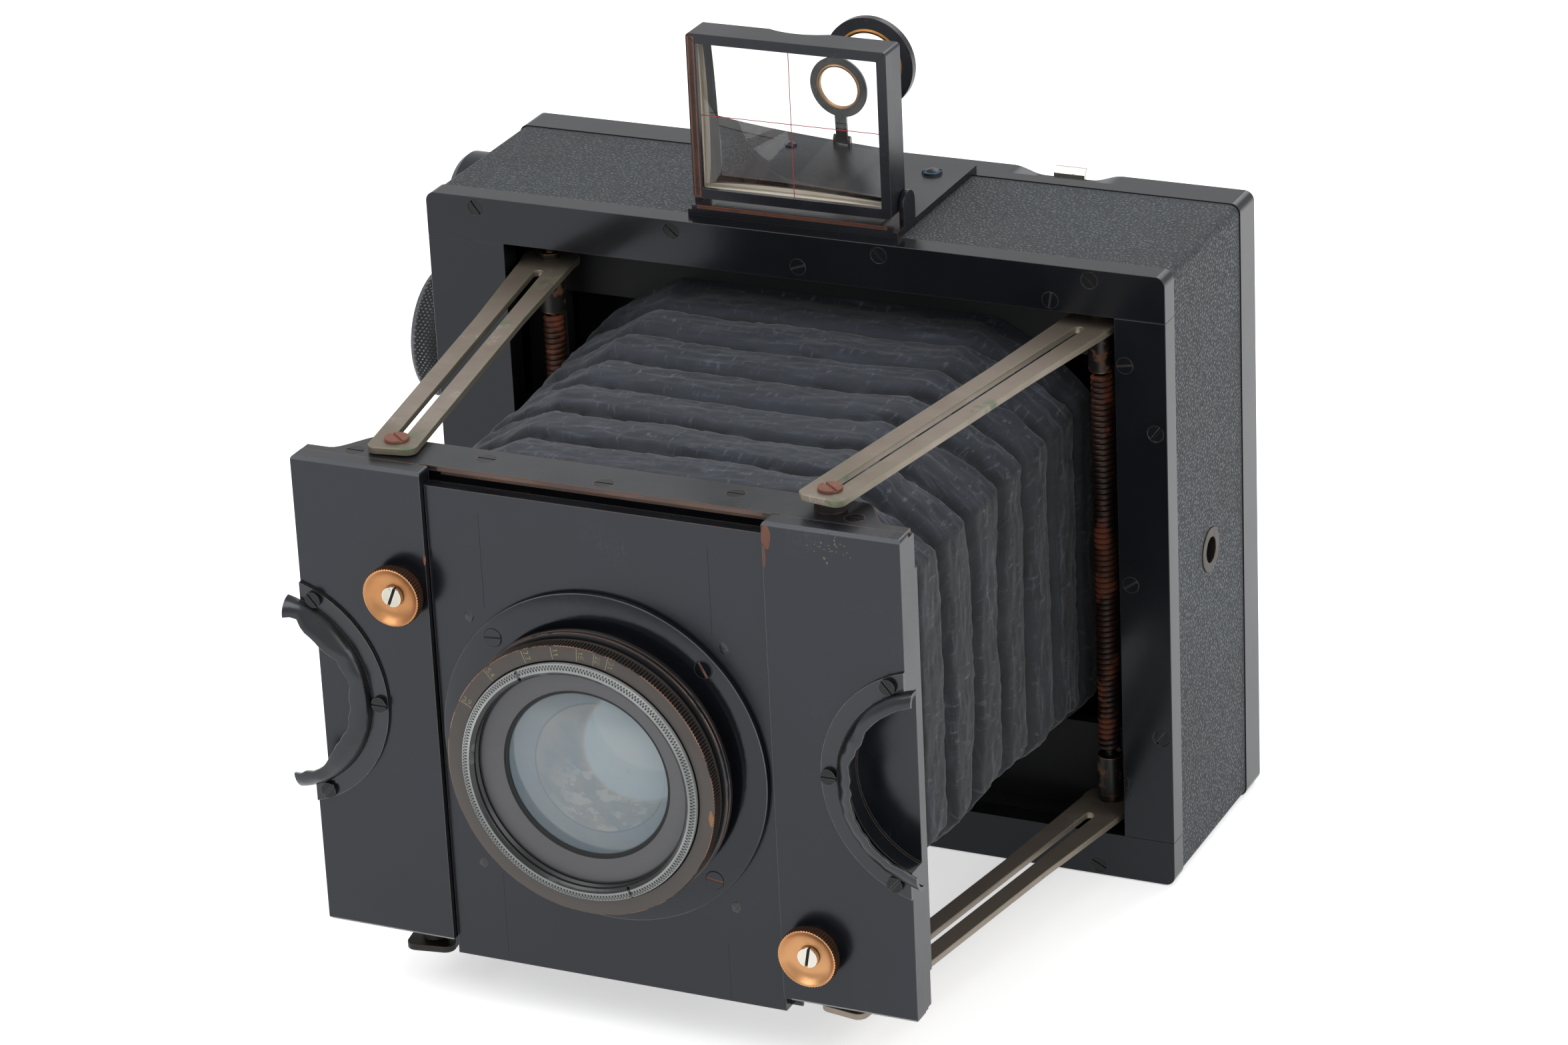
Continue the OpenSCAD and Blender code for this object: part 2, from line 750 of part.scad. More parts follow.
module strut_plan() {
    tip = pin_r + strut_nose;
    half = strut_w / 2;
    nose_r = 2.4;
    difference() {
        union() {
            circle(r = strut_end_r);
            polygon([[-half - 1, 0], [-half - 0.6, -16], [-half, -40], [-half, nose_r - tip],
                     [half, nose_r - tip], [half, -40], [half + 0.6, -16], [half + 1, 0]]);
            for (s = [-1, 1]) translate([s * (half - nose_r), nose_r - tip]) circle(r = nose_r);
            translate([nose_r - half, -tip]) square([strut_w - 2 * nose_r, 2 * nose_r]);
        }
        circle(r = rod_r);
        translate([-slot_w / 2, -pin_r]) square([slot_w, pin_r - slot_start]);
        translate([0, -slot_start]) circle(r = slot_w / 2);
        translate([0, -pin_r]) circle(r = seat_r);
    }
}

module strut(side, level) {
    at_rod(side) rotate([0, 0, -side * open_angle])
        along_z(mid_z + level, mid_z + level + strut_t) strut_plan();
}

module strut_right_top() {
    seated() color(nickel) strut(1, top_level(1));
}

module strut_right_bottom() {
    seated() color(nickel) strut(1, -low_level(1) - strut_t);
}

module strut_left_top() {
    seated() color(nickel) strut(-1, top_level(-1));
}

module strut_left_bottom() {
    seated() color(nickel) strut(-1, -low_level(-1) - strut_t);
}

// Turned rod with a collar under each strut and a ring over it
module rod_end(level) {
    neck = 2;
    translate([0, 0, level - collar_h]) cylinder(r = collar_r, h = collar_h - neck);
    translate([0, 0, level - neck]) cylinder(r = collar_r - 0.3, h = neck);
    translate([0, 0, level + strut_t]) cylinder(r = collar_r - 0.6, h = 1.6);
}

module rod(side) {
    at_rod(side) {
        translate([0, 0, inner_bottom - bearing_l]) cylinder(r = rod_r, h = inner_h + 2 * bearing_l);
        translate([0, 0, mid_z]) rod_end(top_level(side));
        translate([0, 0, mid_z]) mirror([0, 0, 1]) rod_end(low_level(side));
    }
}

module rod_right() {
    seated() color(steel) rod(1);
}

module rod_left() {
    seated() color(steel) rod(-1);
}

// Torsion spring: one tube along a helix, with straight ends on the collars
coil_r = collar_r - 0.35 - wire_r;
function coil_point(u, z0, z1) =
    let (run = 2 * wire_r, lift = run + (z1 - z0 - 2 * run) * u)
    [coil_r * cos(360 * curls * u), coil_r * sin(360 * curls * u), z0 + lift];
function unit(v) = v / norm(v);
function coil_frame(u, p, t) =
    let (n = [cos(360 * curls * u), sin(360 * curls * u), 0], b = cross(t, n)) [p, n, b];
function coil_rings(z0, z1) =
    let (n = curls * 8, dz = (z1 - z0 - 4 * wire_r) / curls / 360 * 180 / PI)
    let (run = 2 * wire_r)
    concat(
        [coil_frame(0, [coil_r, 0, z0], [0, 0, 1]),
         coil_frame(0, [coil_r, 0, z0 + run * 0.8], [0, 0, 1])],
        [for (i = [0 : n]) let (u = i / n, a = 360 * curls * u)
            coil_frame(u, coil_point(u, z0, z1), unit([-sin(a) * coil_r, cos(a) * coil_r,
                dz + (i == 0 || i == n ? coil_r : 0)]))],
        [coil_frame(1, [coil_r * cos(360 * curls), coil_r * sin(360 * curls), z1 - run * 0.8], [0, 0, 1]),
         coil_frame(1, [coil_r * cos(360 * curls), coil_r * sin(360 * curls), z1], [0, 0, 1])]
    );
module tube(rings, r, sides) {
    points = [for (f = rings) for (k = [0 : sides - 1])
        f[0] + r * (cos(360 * k / sides) * f[1] + sin(360 * k / sides) * unit(f[2]))];
    n = len(rings);
    faces = concat(
        [for (i = [0 : n - 2]) for (k = [0 : sides - 1])
            let (a = i * sides + k, b = i * sides + (k + 1) % sides)
            for (f = [[a, b, b + sides], [a, b + sides, a + sides]]) f],
        [for (k = [1 : sides - 2]) [0, k + 1, k]],
        [for (k = [1 : sides - 2]) let (e = (n - 1) * sides) [e, e + k, e + k + 1]]
    );
    polyhedron(points = points, faces = [for (f = faces) [f[0], f[2], f[1]]], convexity = 10);
}
function least_gap(rings, step, r) =
    min([for (i = [2 : len(rings) - 3 - step]) norm(rings[i + step][0] - rings[i][0])]) - 2 * r;

module torsion_spring(side) {
    z0 = mid_z - low_level(side) + collar_h;
    z1 = mid_z + top_level(side) - collar_h;
    rings = coil_rings(z0, z1);
    echo("least gap between the curls", least_gap(rings, 8, wire_r));
    at_rod(side) tube(rings, wire_r, 6);
}

module torsion_spring_right() {
    seated() color(rust) torsion_spring(1);
}

module torsion_spring_left() {
    seated() color(rust) torsion_spring(-1);
}

module strut_screw(level) {
    translate([0, 0, level]) {
        cylinder(r = slot_w / 2 - 0.1, h = strut_t + 0.05, $fn = 32);
        translate([0, 0, strut_t + 0.05]) rotate([-90, 0, 0]) rotate([0, 40, 0])
            slotted_head(stud_head_r, stud_head_t, 0.7);
    }
}

module strut_screws(side) {
    translate([axis_x + side * pin_offset, pin_y, mid_z]) {
        strut_screw(top_level(side));
        mirror([0, 0, 1]) strut_screw(low_level(side));
    }
}

module strut_screws_right() {
    seated() color(rust) strut_screws(1);
}

module strut_screws_left() {
    seated() color(rust) strut_screws(-1);
}

// Bellows: pleated tube of cloth, with rounded corners
chamfer_flat = 0.7;
bellows_y0 = bellows_seat + seat_gap;
bellows_y1 = partition_y - seat_gap;
function bellows_ring(t, inset) =
    let (narrow = bellows_taper * t / 2 + inset, w = bellows_w / 2 - narrow, h = bellows_h / 2 - narrow)
    let (y = bellows_y1 + (bellows_y0 - bellows_y1) * t)
    [for (q = [0 : 3]) for (i = [0 : 5])
        let (a = 18 * ((q % 2 == 0) ? i : 5 - i), u = a / 90)
        let (sx = (q == 0 || q == 3) ? 1 : -1, sz = (q < 2) ? 1 : -1)
        let (px = w - chamfer_w * (1 - (1 - u) * chamfer_flat - cos(a) * (1 - chamfer_flat)))
        let (pz = h - chamfer_h * (1 - u * chamfer_flat - sin(a) * (1 - chamfer_flat)))
        [axis_x + sx * px, y, mid_z + sz * pz]];
module bellows() {
    n = 2 * pleats;
    dip = [for (i = [0 : n]) (i % 2 == 0) ? pleat_d : 0];
    outer = [for (i = [0 : n]) bellows_ring(i / n, dip[i])];
    inner = [for (i = [0 : n]) bellows_ring(i / n, dip[i] + cloth_t * 1.6)];
    rings = concat(outer, [for (i = [n : -1 : 0]) inner[i]]);
    sides = len(rings[0]);
    m = len(rings);
    points = [for (r = rings) for (p = r) p];
    faces = [for (i = [0 : m - 1]) for (k = [0 : sides - 1])
        let (a = i * sides + k, b = i * sides + (k + 1) % sides)
        let (c = ((i + 1) % m) * sides + k, d = ((i + 1) % m) * sides + (k + 1) % sides)
        for (f = [[a, b, d], [a, d, c]]) f];
    seated() color("#26272a") polyhedron(points = points, faces = faces, convexity = 12);
}

// Front standard

std_left = axis_x - std_w / 2;
std_right = axis_x + std_w / 2;
std_top = mid_z + std_h / 2;
groove_w = lens_board_w + 2 * tongue_w + 2 * slide_gap;
groove_d = tongue_t + slide_gap + 0.1;

module standard_board() {
    inner_h2 = std_h / 2 - edge_plate_t;
    window_w = 60;
    window_h = 68;
    seated() color(black) difference() {
        union() {
            translate([axis_x, 0, mid_z]) along_y(board_y, board_back)
                square([std_w, 2 * inner_h2], center = true);
            translate([axis_x, 0, mid_z]) along_y(board_back - 0.5, bellows_seat)
                rounded_rect(bellows_frame_w, 2 * inner_h2 - 1, 8);
        }
        translate([axis_x, 0, mid_z]) {
            along_y(board_y - 1, board_y + groove_d) square([groove_w, std_h + 2], center = true);
            along_y(board_y - 1, bellows_seat + 1) rounded_rect(window_w, window_h, 6);
            along_y(board_back, bellows_seat + 1)
                rounded_rect(bellows_frame_w - 20, 2 * inner_h2 - 21, 5);
        }
        for (s = [-1, 1], t = [-1, 1]) translate([axis_x + s * std_w / 2, 0, mid_z + t * std_h / 2])
            block(-9, 9, board_back - corner_relief, board_back + 1, -9.5, 9.5);
        grip_pockets(0.8);
    }
}

// Room under the grips in the back board, one each side
module grip_pockets(deep) {
    for (s = [-1, 1])
        disc_y(axis_x + s * (std_w / 2 + grip_out), grip_z, cut_r, board_y - 1, board_y + deep);
}

module panel_outline(side) {
    inner = axis_x + side * (lens_board_w / 2 + slide_gap);
    outer = axis_x + side * std_w / 2;
    w = abs(outer - inner);
    translate([(inner + outer) / 2, mid_z]) rounded_rect(w, std_h, 0.8);
}

module side_panels() {
    bevel = 1.1;
    seated() color(black) for (s = [-1, 1]) difference() {
        along_y(std_y, board_y) panel_outline(s);
        disc_y(axis_x + s * (std_w / 2 + grip_out), grip_z, cut_r, std_y - 1, board_y + 1);
        for (t = [-1, 1]) translate([0, std_y, mid_z + t * std_h / 2]) rotate([45, 0, 0])
            cube([2 * body_w, bevel, bevel], center = true);
        knob_hole(s);
    }
}

// Clamp knobs: the upper one on the left panel and the lower one on the right
function knob_at(side) = side < 0
    ? [axis_x - lens_board_w / 2 - upper_knob_out, std_top - knob_high]
    : [axis_x + lens_board_w / 2 + lower_knob_out, mid_z - std_h / 2 + knob_low];
module knob_hole(side) {
    p = knob_at(side);
    disc_y(p[0], p[1], 2 + turn_gap, std_y - 1, board_y + 1);
}

module clamp_knob(side) {
    p = knob_at(side);
    color(copper) translate([p[0], std_y - 0.1, p[1]]) rotate([90, 0, 0]) {
        difference() {
            rotate_extrude() polygon([
                [0, 0], [knob_r - 1.6, 0], [knob_r - 1.6, knob_h - 2.8], [knob_r, knob_h - 2.8],
                [knob_r, knob_h], [knob_r - 0.7, knob_h], [knob_r - 2.6, knob_h - 1.3],
                [2.6, knob_h - 1.5], [0, knob_h - 1.5]
            ]);
            for (a = [0 : 9 : 351]) rotate(a) translate([knob_r, 0, knob_h - 3]) rotate(45)
                translate([-0.2, -0.2, 0]) cube([0.4, 0.4, 4]);
        }
        translate([0, 0, -panel_t + 0.2]) cylinder(r = 2, h = panel_t);
    }
    color(nickel) translate([p[0], std_y - knob_h + 1.4, p[1]]) rotate([0, 15, 0])
        slotted_head(2.5, 1.3, 0.6);
}

module clamp_knob_upper() {
    seated() clamp_knob(-1);
}

module clamp_knob_lower() {
    seated() clamp_knob(1);
}

// Edge plate: wide between the struts, with an easy curve to its narrow ends
function edge_curve() =
    let (behind = 5.2, drop = pin_set + behind - panel_t - board_t + corner_relief + seat_gap)
    [for (i = [0 : 8]) let (t = i / 8)
        [pin_offset + 6 + 9 * t, pin_y + behind - drop * (1 - cos(180 * t)) / 2]];
module edge_plate(notch) {
    half = std_w / 2 - 0.6;
    curve = edge_curve();
    last = curve[8];
    difference() {
        translate([axis_x, 0]) polygon(concat(
            [[-half, board_y], [half, board_y], [half, last[1]]],
            [for (i = [8 : -1 : 0]) curve[i]],
            [for (p = curve) [-p[0], p[1]]],
            [[-half, last[1]]]
        ));
        translate([axis_x - groove_w / 2, board_y - 1]) square([groove_w, notch + 1]);
    }
}

module edge_plates() {
    seated() color(black) {
        difference() {
            along_z(std_top - edge_plate_t, std_top) edge_plate(2 * slide_gap);
            plate_screw_seats();
        }
        along_z(mid_z - std_h / 2, mid_z - std_h / 2 + edge_plate_t) edge_plate(groove_d);
    }
}

function plate_screw_at() = [
    [-std_w / 2 + 12.6, 7.6], [-31, 12.5], [0, 8.4], [30, 12.5], [std_w / 2 - 14.1, 8.4]
];
module plate_screw_seats() {
    for (p = plate_screw_at())
        translate([axis_x + p[0], std_y + p[1], std_top - 0.8]) cylinder(r = 2.2, h = 2);
}

module spacer_bushes() {
    seated() color("#3a302b") for (s = [-1, 1]) translate([axis_x + s * pin_offset, pin_y, mid_z]) {
        translate([0, 0, std_h / 2]) cylinder(
            r = s > 0 ? spacer_r : spacer_r - 0.7, h = max(0.2, top_level(s) - std_h / 2 - seat_gap));
        mirror([0, 0, 1]) translate([0, 0, std_h / 2])
            cylinder(r = spacer_r - 0.7, h = low_level(s) - std_h / 2 - seat_gap);
    }
}

module grip_profile() {
    ring = grip_r - 4.8;
    polygon(concat(
        [[grip_r, 0], [grip_r, grip_t], [ring + grip_t, grip_t]],
        [for (a = [6 : 14 : 90]) [ring + grip_t - lip_h * (1 - cos(a)), grip_t + lip_h * sin(a)]],
        [for (a = [90 : -14 : 6]) let (q = lip_h - grip_t)
            [ring + grip_t - lip_h + q * cos(a), grip_t + q * sin(a)]],
        [[ring, 0]]
    ));
}

module finger_grips() {
    seated() color(black) for (s = [-1, 1]) {
        edge = axis_x + s * std_w / 2;
        past = edge + s * 2 * grip_r;
        rim = edge + s * 3;
        difference() {
            translate([edge + s * grip_out, std_y, grip_z]) rotate([90, 0, 0])
                rotate_extrude() grip_profile();
            block(min(edge, past), max(edge, past), std_y - grip_t - eps, std_y + 1, 0, body_h);
            block(min(rim, past), max(rim, past), std_y - 20, std_y + 1, 0, body_h);
            for (a = [-1, 0, 1]) grip_screw_place(s, a) rotate([90, 0, 0])
                cylinder(r = 1.2, h = 9, center = true);
        }
    }
}

module grip_screw_place(s, a) {
    r = grip_r - grip_screw_r - 0.1;
    t = 64 * a;
    centre = axis_x + s * (std_w / 2 + grip_out);
    translate([centre - s * r * cos(t), std_y - grip_t, grip_z + r * sin(t)]) children();
}

module standard_screws() {
    seated() color(steel) {
        for (p = plate_screw_at()) translate([axis_x + p[0], std_y + p[1], std_top - 0.8])
            rotate([-90, 0, 0]) slotted_head(2.15, 0.8, 0.4);
        for (s = [-1, 1], a = [-1, 0, 1]) grip_screw_place(s, a) rotate([0, 50 * a, 0]) {
            slotted_head(grip_screw_r, 1, 0.5);
            rotate([-90, 0, 0]) cylinder(r = 1.1, h = grip_t, $fn = 24);
        }
    }
}

// Lens board and lens

module lens_board() {
    top = mid_z - board_drop + lens_board_h / 2;
    bottom = mid_z - board_drop - lens_board_h / 2;
    y1 = board_y + slide_gap;
    clear = fold_travel - rod_y + strut_w / 2 + strut_gap;
    thin = max(0.4, -clear - y1);
    travel = [3.5, 10.5];
    tongue_top = std_top - edge_plate_t - travel[1] - strut_gap;
    half = lens_board_w / 2 + tongue_w;
    seated() color(black) difference() {
        union() {
            translate([axis_x, 0, (top + bottom) / 2]) along_y(lens_face, y1 + eps)
                square([lens_board_w, lens_board_h], center = true);
            block(axis_x - half, axis_x + half, y1, y1 + thin, bottom, tongue_top);
            block(axis_x - half, axis_x + half, y1, y1 + tongue_t - 0.1,
                  mid_z - std_h / 2 + travel[0] + seat_gap, tongue_top);
        }
        disc_y(axis_x, lens_z, tail_r + turn_gap, lens_face - 1, 0);
        for (p = flange_screw_at()) disc_y(p[0], p[1], 1.1, lens_face - 1, lens_face + 2.2);
    }
}

function flange_screw_at() = [
    for (a = [45, 135, 225, 315]) [axis_x + flange_screw_r * cos(a), lens_z + flange_screw_r * sin(a)]
];

module lens_flange() {
    seated() color(black) {
        difference() {
            disc_y(axis_x, lens_z, flange_r, lens_face - flange_t, lens_face);
            disc_y(axis_x, lens_z, neck_r + turn_gap, lens_face - 5, lens_face + 1);
            for (p = flange_screw_at()) disc_y(p[0], p[1], 2.2, lens_face - 5, lens_face + 1);
        }
        for (p = flange_screw_at()) translate([p[0], lens_face, p[1]]) rotate([0, p[0] * 3, 0]) {
            slotted_head(2.15, flange_t + 0.1, 0.5);
            rotate([-90, 0, 0]) cylinder(r = 1.05, h = 2, $fn = 24);
        }
    }
}

// Turned part about the lens axis: radius and height ahead of the board's face
module turned() {
    translate([axis_x, lens_face, lens_z]) rotate([90, 0, 0]) rotate_extrude($fn = 96) children();
}

module lens_barrel() {
    s0 = step_h[0];
    s1 = step_h[1];
    seated() color("#2a2622") difference() {
        turned() polygon([
            [tail_r - 5.5, 0], [tail_r - 5.5, -tail_l + 4.4], [tail_r - 4.5, -tail_l + 4.4],
            [tail_r - 4.5, -tail_l], [tail_r - 1, -tail_l], [tail_r, -tail_l + 1], [tail_r, 0],
            [neck_r, 0], [neck_r, s0],
            [step_r, s0], [step_r, s0 + 1.4], [step_r - 0.5, s0 + 1.6], [step_r, s0 + 1.8],
            [step_r, s0 + 2.6], [step_r - 0.9, s0 + 2.8], [step_r - 0.9, s1], [journal_r, s1],
            [journal_r, front_h], [bezel_r, front_h], [bezel_r, 9.4], [glass_r + 0.1, 9.4],
            [glass_r + 0.1, 6.4], [clear_r - 0.4, 6.4], [clear_r - 0.4, chamber_h[1]],
            [chamber_r, chamber_h[1]], [chamber_r, chamber_h[0]], [clear_r, chamber_h[0]], [clear_r, 0]
        ]);
        for (k = [0 : blades - 1]) blade_place(k) translate([0, 0, 0.3])
            cylinder(r = blade_pin_r + turn_gap, h = 2, $fn = 24);
    }
}

module front_ring() {
    seated() color("#3c3d3f") turned() polygon([
        [clear_r, 9.5], [bezel_r - 0.05, 9.45], [bezel_r - 0.05, 11.6], [bezel_r - 0.8, 11.8], [clear_r, 10]
    ]);
}

module retaining_ring() {
    seated() color("#777a78") difference() {
        turned() polygon([
            [bezel_r, front_h], [journal_r - 0.1, front_h], [journal_r - 0.1, front_h + retainer_t - 0.3],
            [journal_r - 0.4, front_h + retainer_t], [bezel_r + 0.3, front_h + retainer_t],
            [bezel_r, front_h + retainer_t - 0.3]
        ]);
        translate([axis_x, lens_face - front_h - retainer_t, lens_z]) rotate([0, 30, 0])
            cube([2 * journal_r + 2, 1, 1], center = true);
    }
}

// Round glass with one domed face: place and height of the dome's points
function dome(r, edge, ball, up) =
    let (low = sqrt(ball * ball - r * r))
    [for (i = [12 : -1 : 0]) let (x = r * i / 12) [x, edge + up * (sqrt(ball * ball - x * x) - low)]];

module lens_glasses() {
    front_ball = 62;
    rear_ball = 90;
    rear_r = tail_r - 4.6;
    rear_seat = 4.3 - tail_l;
    seated() color(glass_tint, 0.4) {
        turned() polygon(concat([[0, 6.5], [glass_r, 6.5]], dome(glass_r, 9.2, front_ball, 1)));
        turned() polygon(concat([[0, rear_seat], [rear_r, rear_seat]],
            dome(rear_r, rear_seat - 2, rear_ball, -1)));
    }
}

module aperture_ring() {
    y1 = lens_face - ring_h;
    y0 = y1 - ring_w;
    seated() color("#4a3a30") difference() {
        translate([axis_x, 0, lens_z]) along_y(y0, y1) knurl(ring_r, 72, 0.4);
        disc_y(axis_x, lens_z, journal_r + turn_gap, y0 - 1, y1 + 1);
    }
}

// Iris: each blade swings about its pin in a layer of its own
module blade_place(k) {
    translate([axis_x, lens_face, lens_z]) rotate([90, 0, 0]) rotate([0, 0, 360 * k / blades])
        translate([blade_pin_at, 0, 0]) children();
}

module blade_shape() {
    reach = 2 * chamber_r;
    start = -4;
    intersection() {
        translate([-blade_pin_at, 0]) difference() {
            circle(r = blade_edge_r);
            circle(r = clear_r + 0.15);
        }
        translate([-blade_pin_at, 0]) polygon(concat([[0, 0]],
            [for (i = [0 : 10]) let (a = start + blade_span * i / 10) reach * [cos(a), sin(a)]]));
    }
    circle(r = blade_eye_r, $fn = 32);
    translate([-2 * blade_eye_r, -blade_eye_r]) square([2 * blade_eye_r, 2 * blade_eye_r]);
}

module iris_blade(k) {
    h = chamber_h[0] + 0.4 + blade_pitch * k;
    seated() color("#2f3133") blade_place(k) {
        translate([0, 0, h]) linear_extrude(blade_t) blade_shape();
        translate([0, 0, 0.5]) cylinder(r = blade_pin_r, h = h + blade_t - 0.5, $fn = 24);
    }
}

module iris_blade_1() {
    iris_blade(0);
}

module iris_blade_2() {
    iris_blade(1);
}

module iris_blade_3() {
    iris_blade(2);
}

module iris_blade_4() {
    iris_blade(3);
}

module iris_blade_5() {
    iris_blade(4);
}

module iris_blade_6() {
    iris_blade(5);
}

module iris_blade_7() {
    iris_blade(6);
}

module iris_blade_8() {
    iris_blade(7);
}

module iris_blade_9() {
    iris_blade(8);
}

module iris_blade_10() {
    iris_blade(9);
}

// Finder

module finder_base() {
    ear_x = finder_w / 2 + seat_gap;
    half = ear_x + ear_t;
    back = finder_y + finder_l;
    seated() color(black) {
        block(-half, half, finder_y, back, body_h, plate_top);
        block(-5, 5, back - 1, back + 2.4, body_h, plate_top);
        block(-half + 1, half - 1, finder_y, finder_y + 0.9, plate_top, plate_top + 1.1);
        for (s = [-1, 1]) translate([s > 0 ? ear_x : -half, 0, 0]) along_x(0, ear_t) {
            translate(hinge_at) circle(r = 3.4);
            translate([hinge_at[0] - 3.4, body_h]) square([6.8, hinge_z]);
        }
        for (s = [-1, 1]) disc_x(hinge_at[0], hinge_at[1], hinge_pin_r,
            s > 0 ? finder_w / 2 - finder_rim + 0.2 : -half, s > 0 ? half : -finder_w / 2 + finder_rim - 0.2);
        for (s = [-1, 1]) translate([s > 0 ? stem_w / 2 + 0.15 : -stem_w / 2 - 1.15, 0, 0]) along_x(0, 1) {
            translate(eye_pivot) circle(r = 1.9);
            translate([eye_pivot[0] - 1.9, body_h]) square([3.8, eye_pivot[1] - body_h]);
        }
        disc_x(eye_pivot[0], eye_pivot[1], 0.8, -stem_w / 2 - 1.1, stem_w / 2 + 1.1);
        for (s = [-1, 1]) translate([s * 19, back - 8.5, plate_top - 0.3]) intersection() {
            translate([0, 0, -1.5]) sphere(r = 3, $fn = 32);
            cylinder(r = 2.4, h = 3);
        }
        block(-finder_w / 2 + 4, finder_w / 2 - 4, finder_y + 2, finder_y + 9, plate_top, plate_top + 0.5);
    }
}

module finder_frame() {
    seated() color(black) difference() {
        along_y(frame_y, frame_y + finder_d) translate([0, frame_z + finder_h / 2])
            rounded_rect(finder_w, finder_h, 1);
        along_y(frame_y - 1, frame_y + finder_d + 1) translate([0, frame_z + finder_h / 2])
            square([finder_w - 2 * finder_rim, finder_h - 2 * finder_rim], center = true);
        translate([0, frame_y + finder_d + 17, frame_z + finder_h - 3]) cylinder(r = 18.6, h = 6);
        disc_x(hinge_at[0], hinge_at[1], hinge_pin_r + turn_gap, -finder_w, finder_w);
        along_y(frame_y + 1.2, frame_y + 6) translate([0, frame_z + finder_h / 2])
            square([finder_w - 2 * finder_rim + 1, finder_h - 2 * finder_rim + 1], center = true);
    }
}

// Hollow-ground finder glass with its edges in the frame
module finder_lens() {
    w = finder_w - 2 * finder_rim + 0.9;
    h = finder_h - 2 * finder_rim + 0.9;
    hollow_r = 15;
    hollow = dome(hollow_r, 0, 90, 1);
    seated() color(glass_tint, 0.5) translate([0, 0, frame_z + finder_h / 2]) difference() {
        along_y(frame_y + 1.25, frame_y + 5.9) square([w, h], center = true);
        translate([0, frame_y + 5.9, 0]) rotate([90, 0, 0]) rotate_extrude()
            polygon(concat([[0, -1], [hollow_r, -1]], hollow));
    }
}

module eyepiece() {
    c = body_h + eye_z;
    y0 = eye_pivot[0] - eye_t / 2;
    bezel = 0.8;
    seated() {
        color(black) difference() {
            along_y(y0, y0 + eye_t) union() {
                translate([0, c]) circle(r = eye_r);
                translate([-stem_w / 2, eye_pivot[1]]) square([stem_w, c - eye_pivot[1]]);
                translate([-stem_w / 2, eye_pivot[1] - 1.2]) square([stem_w, 1.3]);
            }
            disc_y(0, c, eye_bore_r + bezel, y0 - 1, y0 + eye_t + 1);
            disc_x(eye_pivot[0], eye_pivot[1], 0.8 + turn_gap, -stem_w, stem_w);
        }
        color(copper) difference() {
            disc_y(0, c, eye_bore_r + bezel - 0.02, y0, y0 + eye_t);
            disc_y(0, c, eye_bore_r, y0 - 1, y0 + eye_t + 1);
        }
    }
}

body_box();
leather_covering();
front_frame_rails();
front_frame_stiles();
body_screws();
rear_frame();
ground_glass_frame();
ground_glass();
back_catch();
tripod_bushes();
shutter_partition();
plate_mask();
shutter_curtain();
gear_plate();
winding_knob();
winding_gear();
idler_gear();
upper_roller();
slit_dial();
lower_roller();
rod_right();
rod_left();
torsion_spring_right();
torsion_spring_left();
strut_right_top();
strut_right_bottom();
strut_left_top();
strut_left_bottom();
strut_screws_right();
strut_screws_left();
bellows();
standard_board();
side_panels();
edge_plates();
spacer_bushes();
finger_grips();
standard_screws();
clamp_knob_upper();
clamp_knob_lower();
lens_board();
lens_flange();
lens_barrel();
front_ring();
retaining_ring();
lens_glasses();
aperture_ring();
iris_blade_1();
iris_blade_2();
iris_blade_3();
iris_blade_4();
iris_blade_5();
iris_blade_6();
iris_blade_7();
iris_blade_8();
iris_blade_9();
iris_blade_10();
finder_base();
finder_frame();
finder_lens();
eyepiece();
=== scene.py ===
"""Looks of a folding strut camera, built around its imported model.

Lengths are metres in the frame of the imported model: X runs to the right of the front, Y to the
rear and Z up, with the origin at the mouth of the tripod bush in the base. Sizes in the classes
are millimetres, as a maker would write them, and are turned into metres where a mesh is made.
"""

import json
import logging
import math
from dataclasses import dataclass
from enum import Enum
from typing import Optional, Sequence, Union

import bmesh
import bpy
import numpy as np
from mathutils import Matrix, Vector


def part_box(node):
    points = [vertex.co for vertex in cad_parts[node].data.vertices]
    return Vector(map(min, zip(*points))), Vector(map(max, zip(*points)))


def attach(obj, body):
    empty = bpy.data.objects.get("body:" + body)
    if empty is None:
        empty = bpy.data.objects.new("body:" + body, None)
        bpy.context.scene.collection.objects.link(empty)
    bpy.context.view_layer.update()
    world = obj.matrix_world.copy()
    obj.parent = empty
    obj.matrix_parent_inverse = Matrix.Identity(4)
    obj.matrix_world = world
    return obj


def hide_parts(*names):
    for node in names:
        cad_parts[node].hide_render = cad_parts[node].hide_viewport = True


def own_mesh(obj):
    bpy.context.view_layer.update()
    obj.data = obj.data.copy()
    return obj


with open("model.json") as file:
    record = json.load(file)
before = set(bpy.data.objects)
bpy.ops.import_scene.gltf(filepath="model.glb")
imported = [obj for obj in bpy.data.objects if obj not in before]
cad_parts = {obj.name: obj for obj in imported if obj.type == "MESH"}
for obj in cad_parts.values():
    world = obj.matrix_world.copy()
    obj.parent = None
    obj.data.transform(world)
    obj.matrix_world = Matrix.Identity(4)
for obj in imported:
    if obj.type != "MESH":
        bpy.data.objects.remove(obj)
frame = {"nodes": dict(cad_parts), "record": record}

LOG = logging.getLogger("strut_camera")
MM = 0.001
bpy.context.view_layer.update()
SEED = 7

# Places that several classes share, in millimetres
FRONT_Y = -28.0
AXIS_X = 3.9
LENS_Z = 72.7
OPENING_Z = 77.8

Colour = tuple[float, float, float]
BLACK, SOFT_BLACK = "101216", "15171c"
BLUE_TINT: Colour = (0.86, 0.91, 1.0)


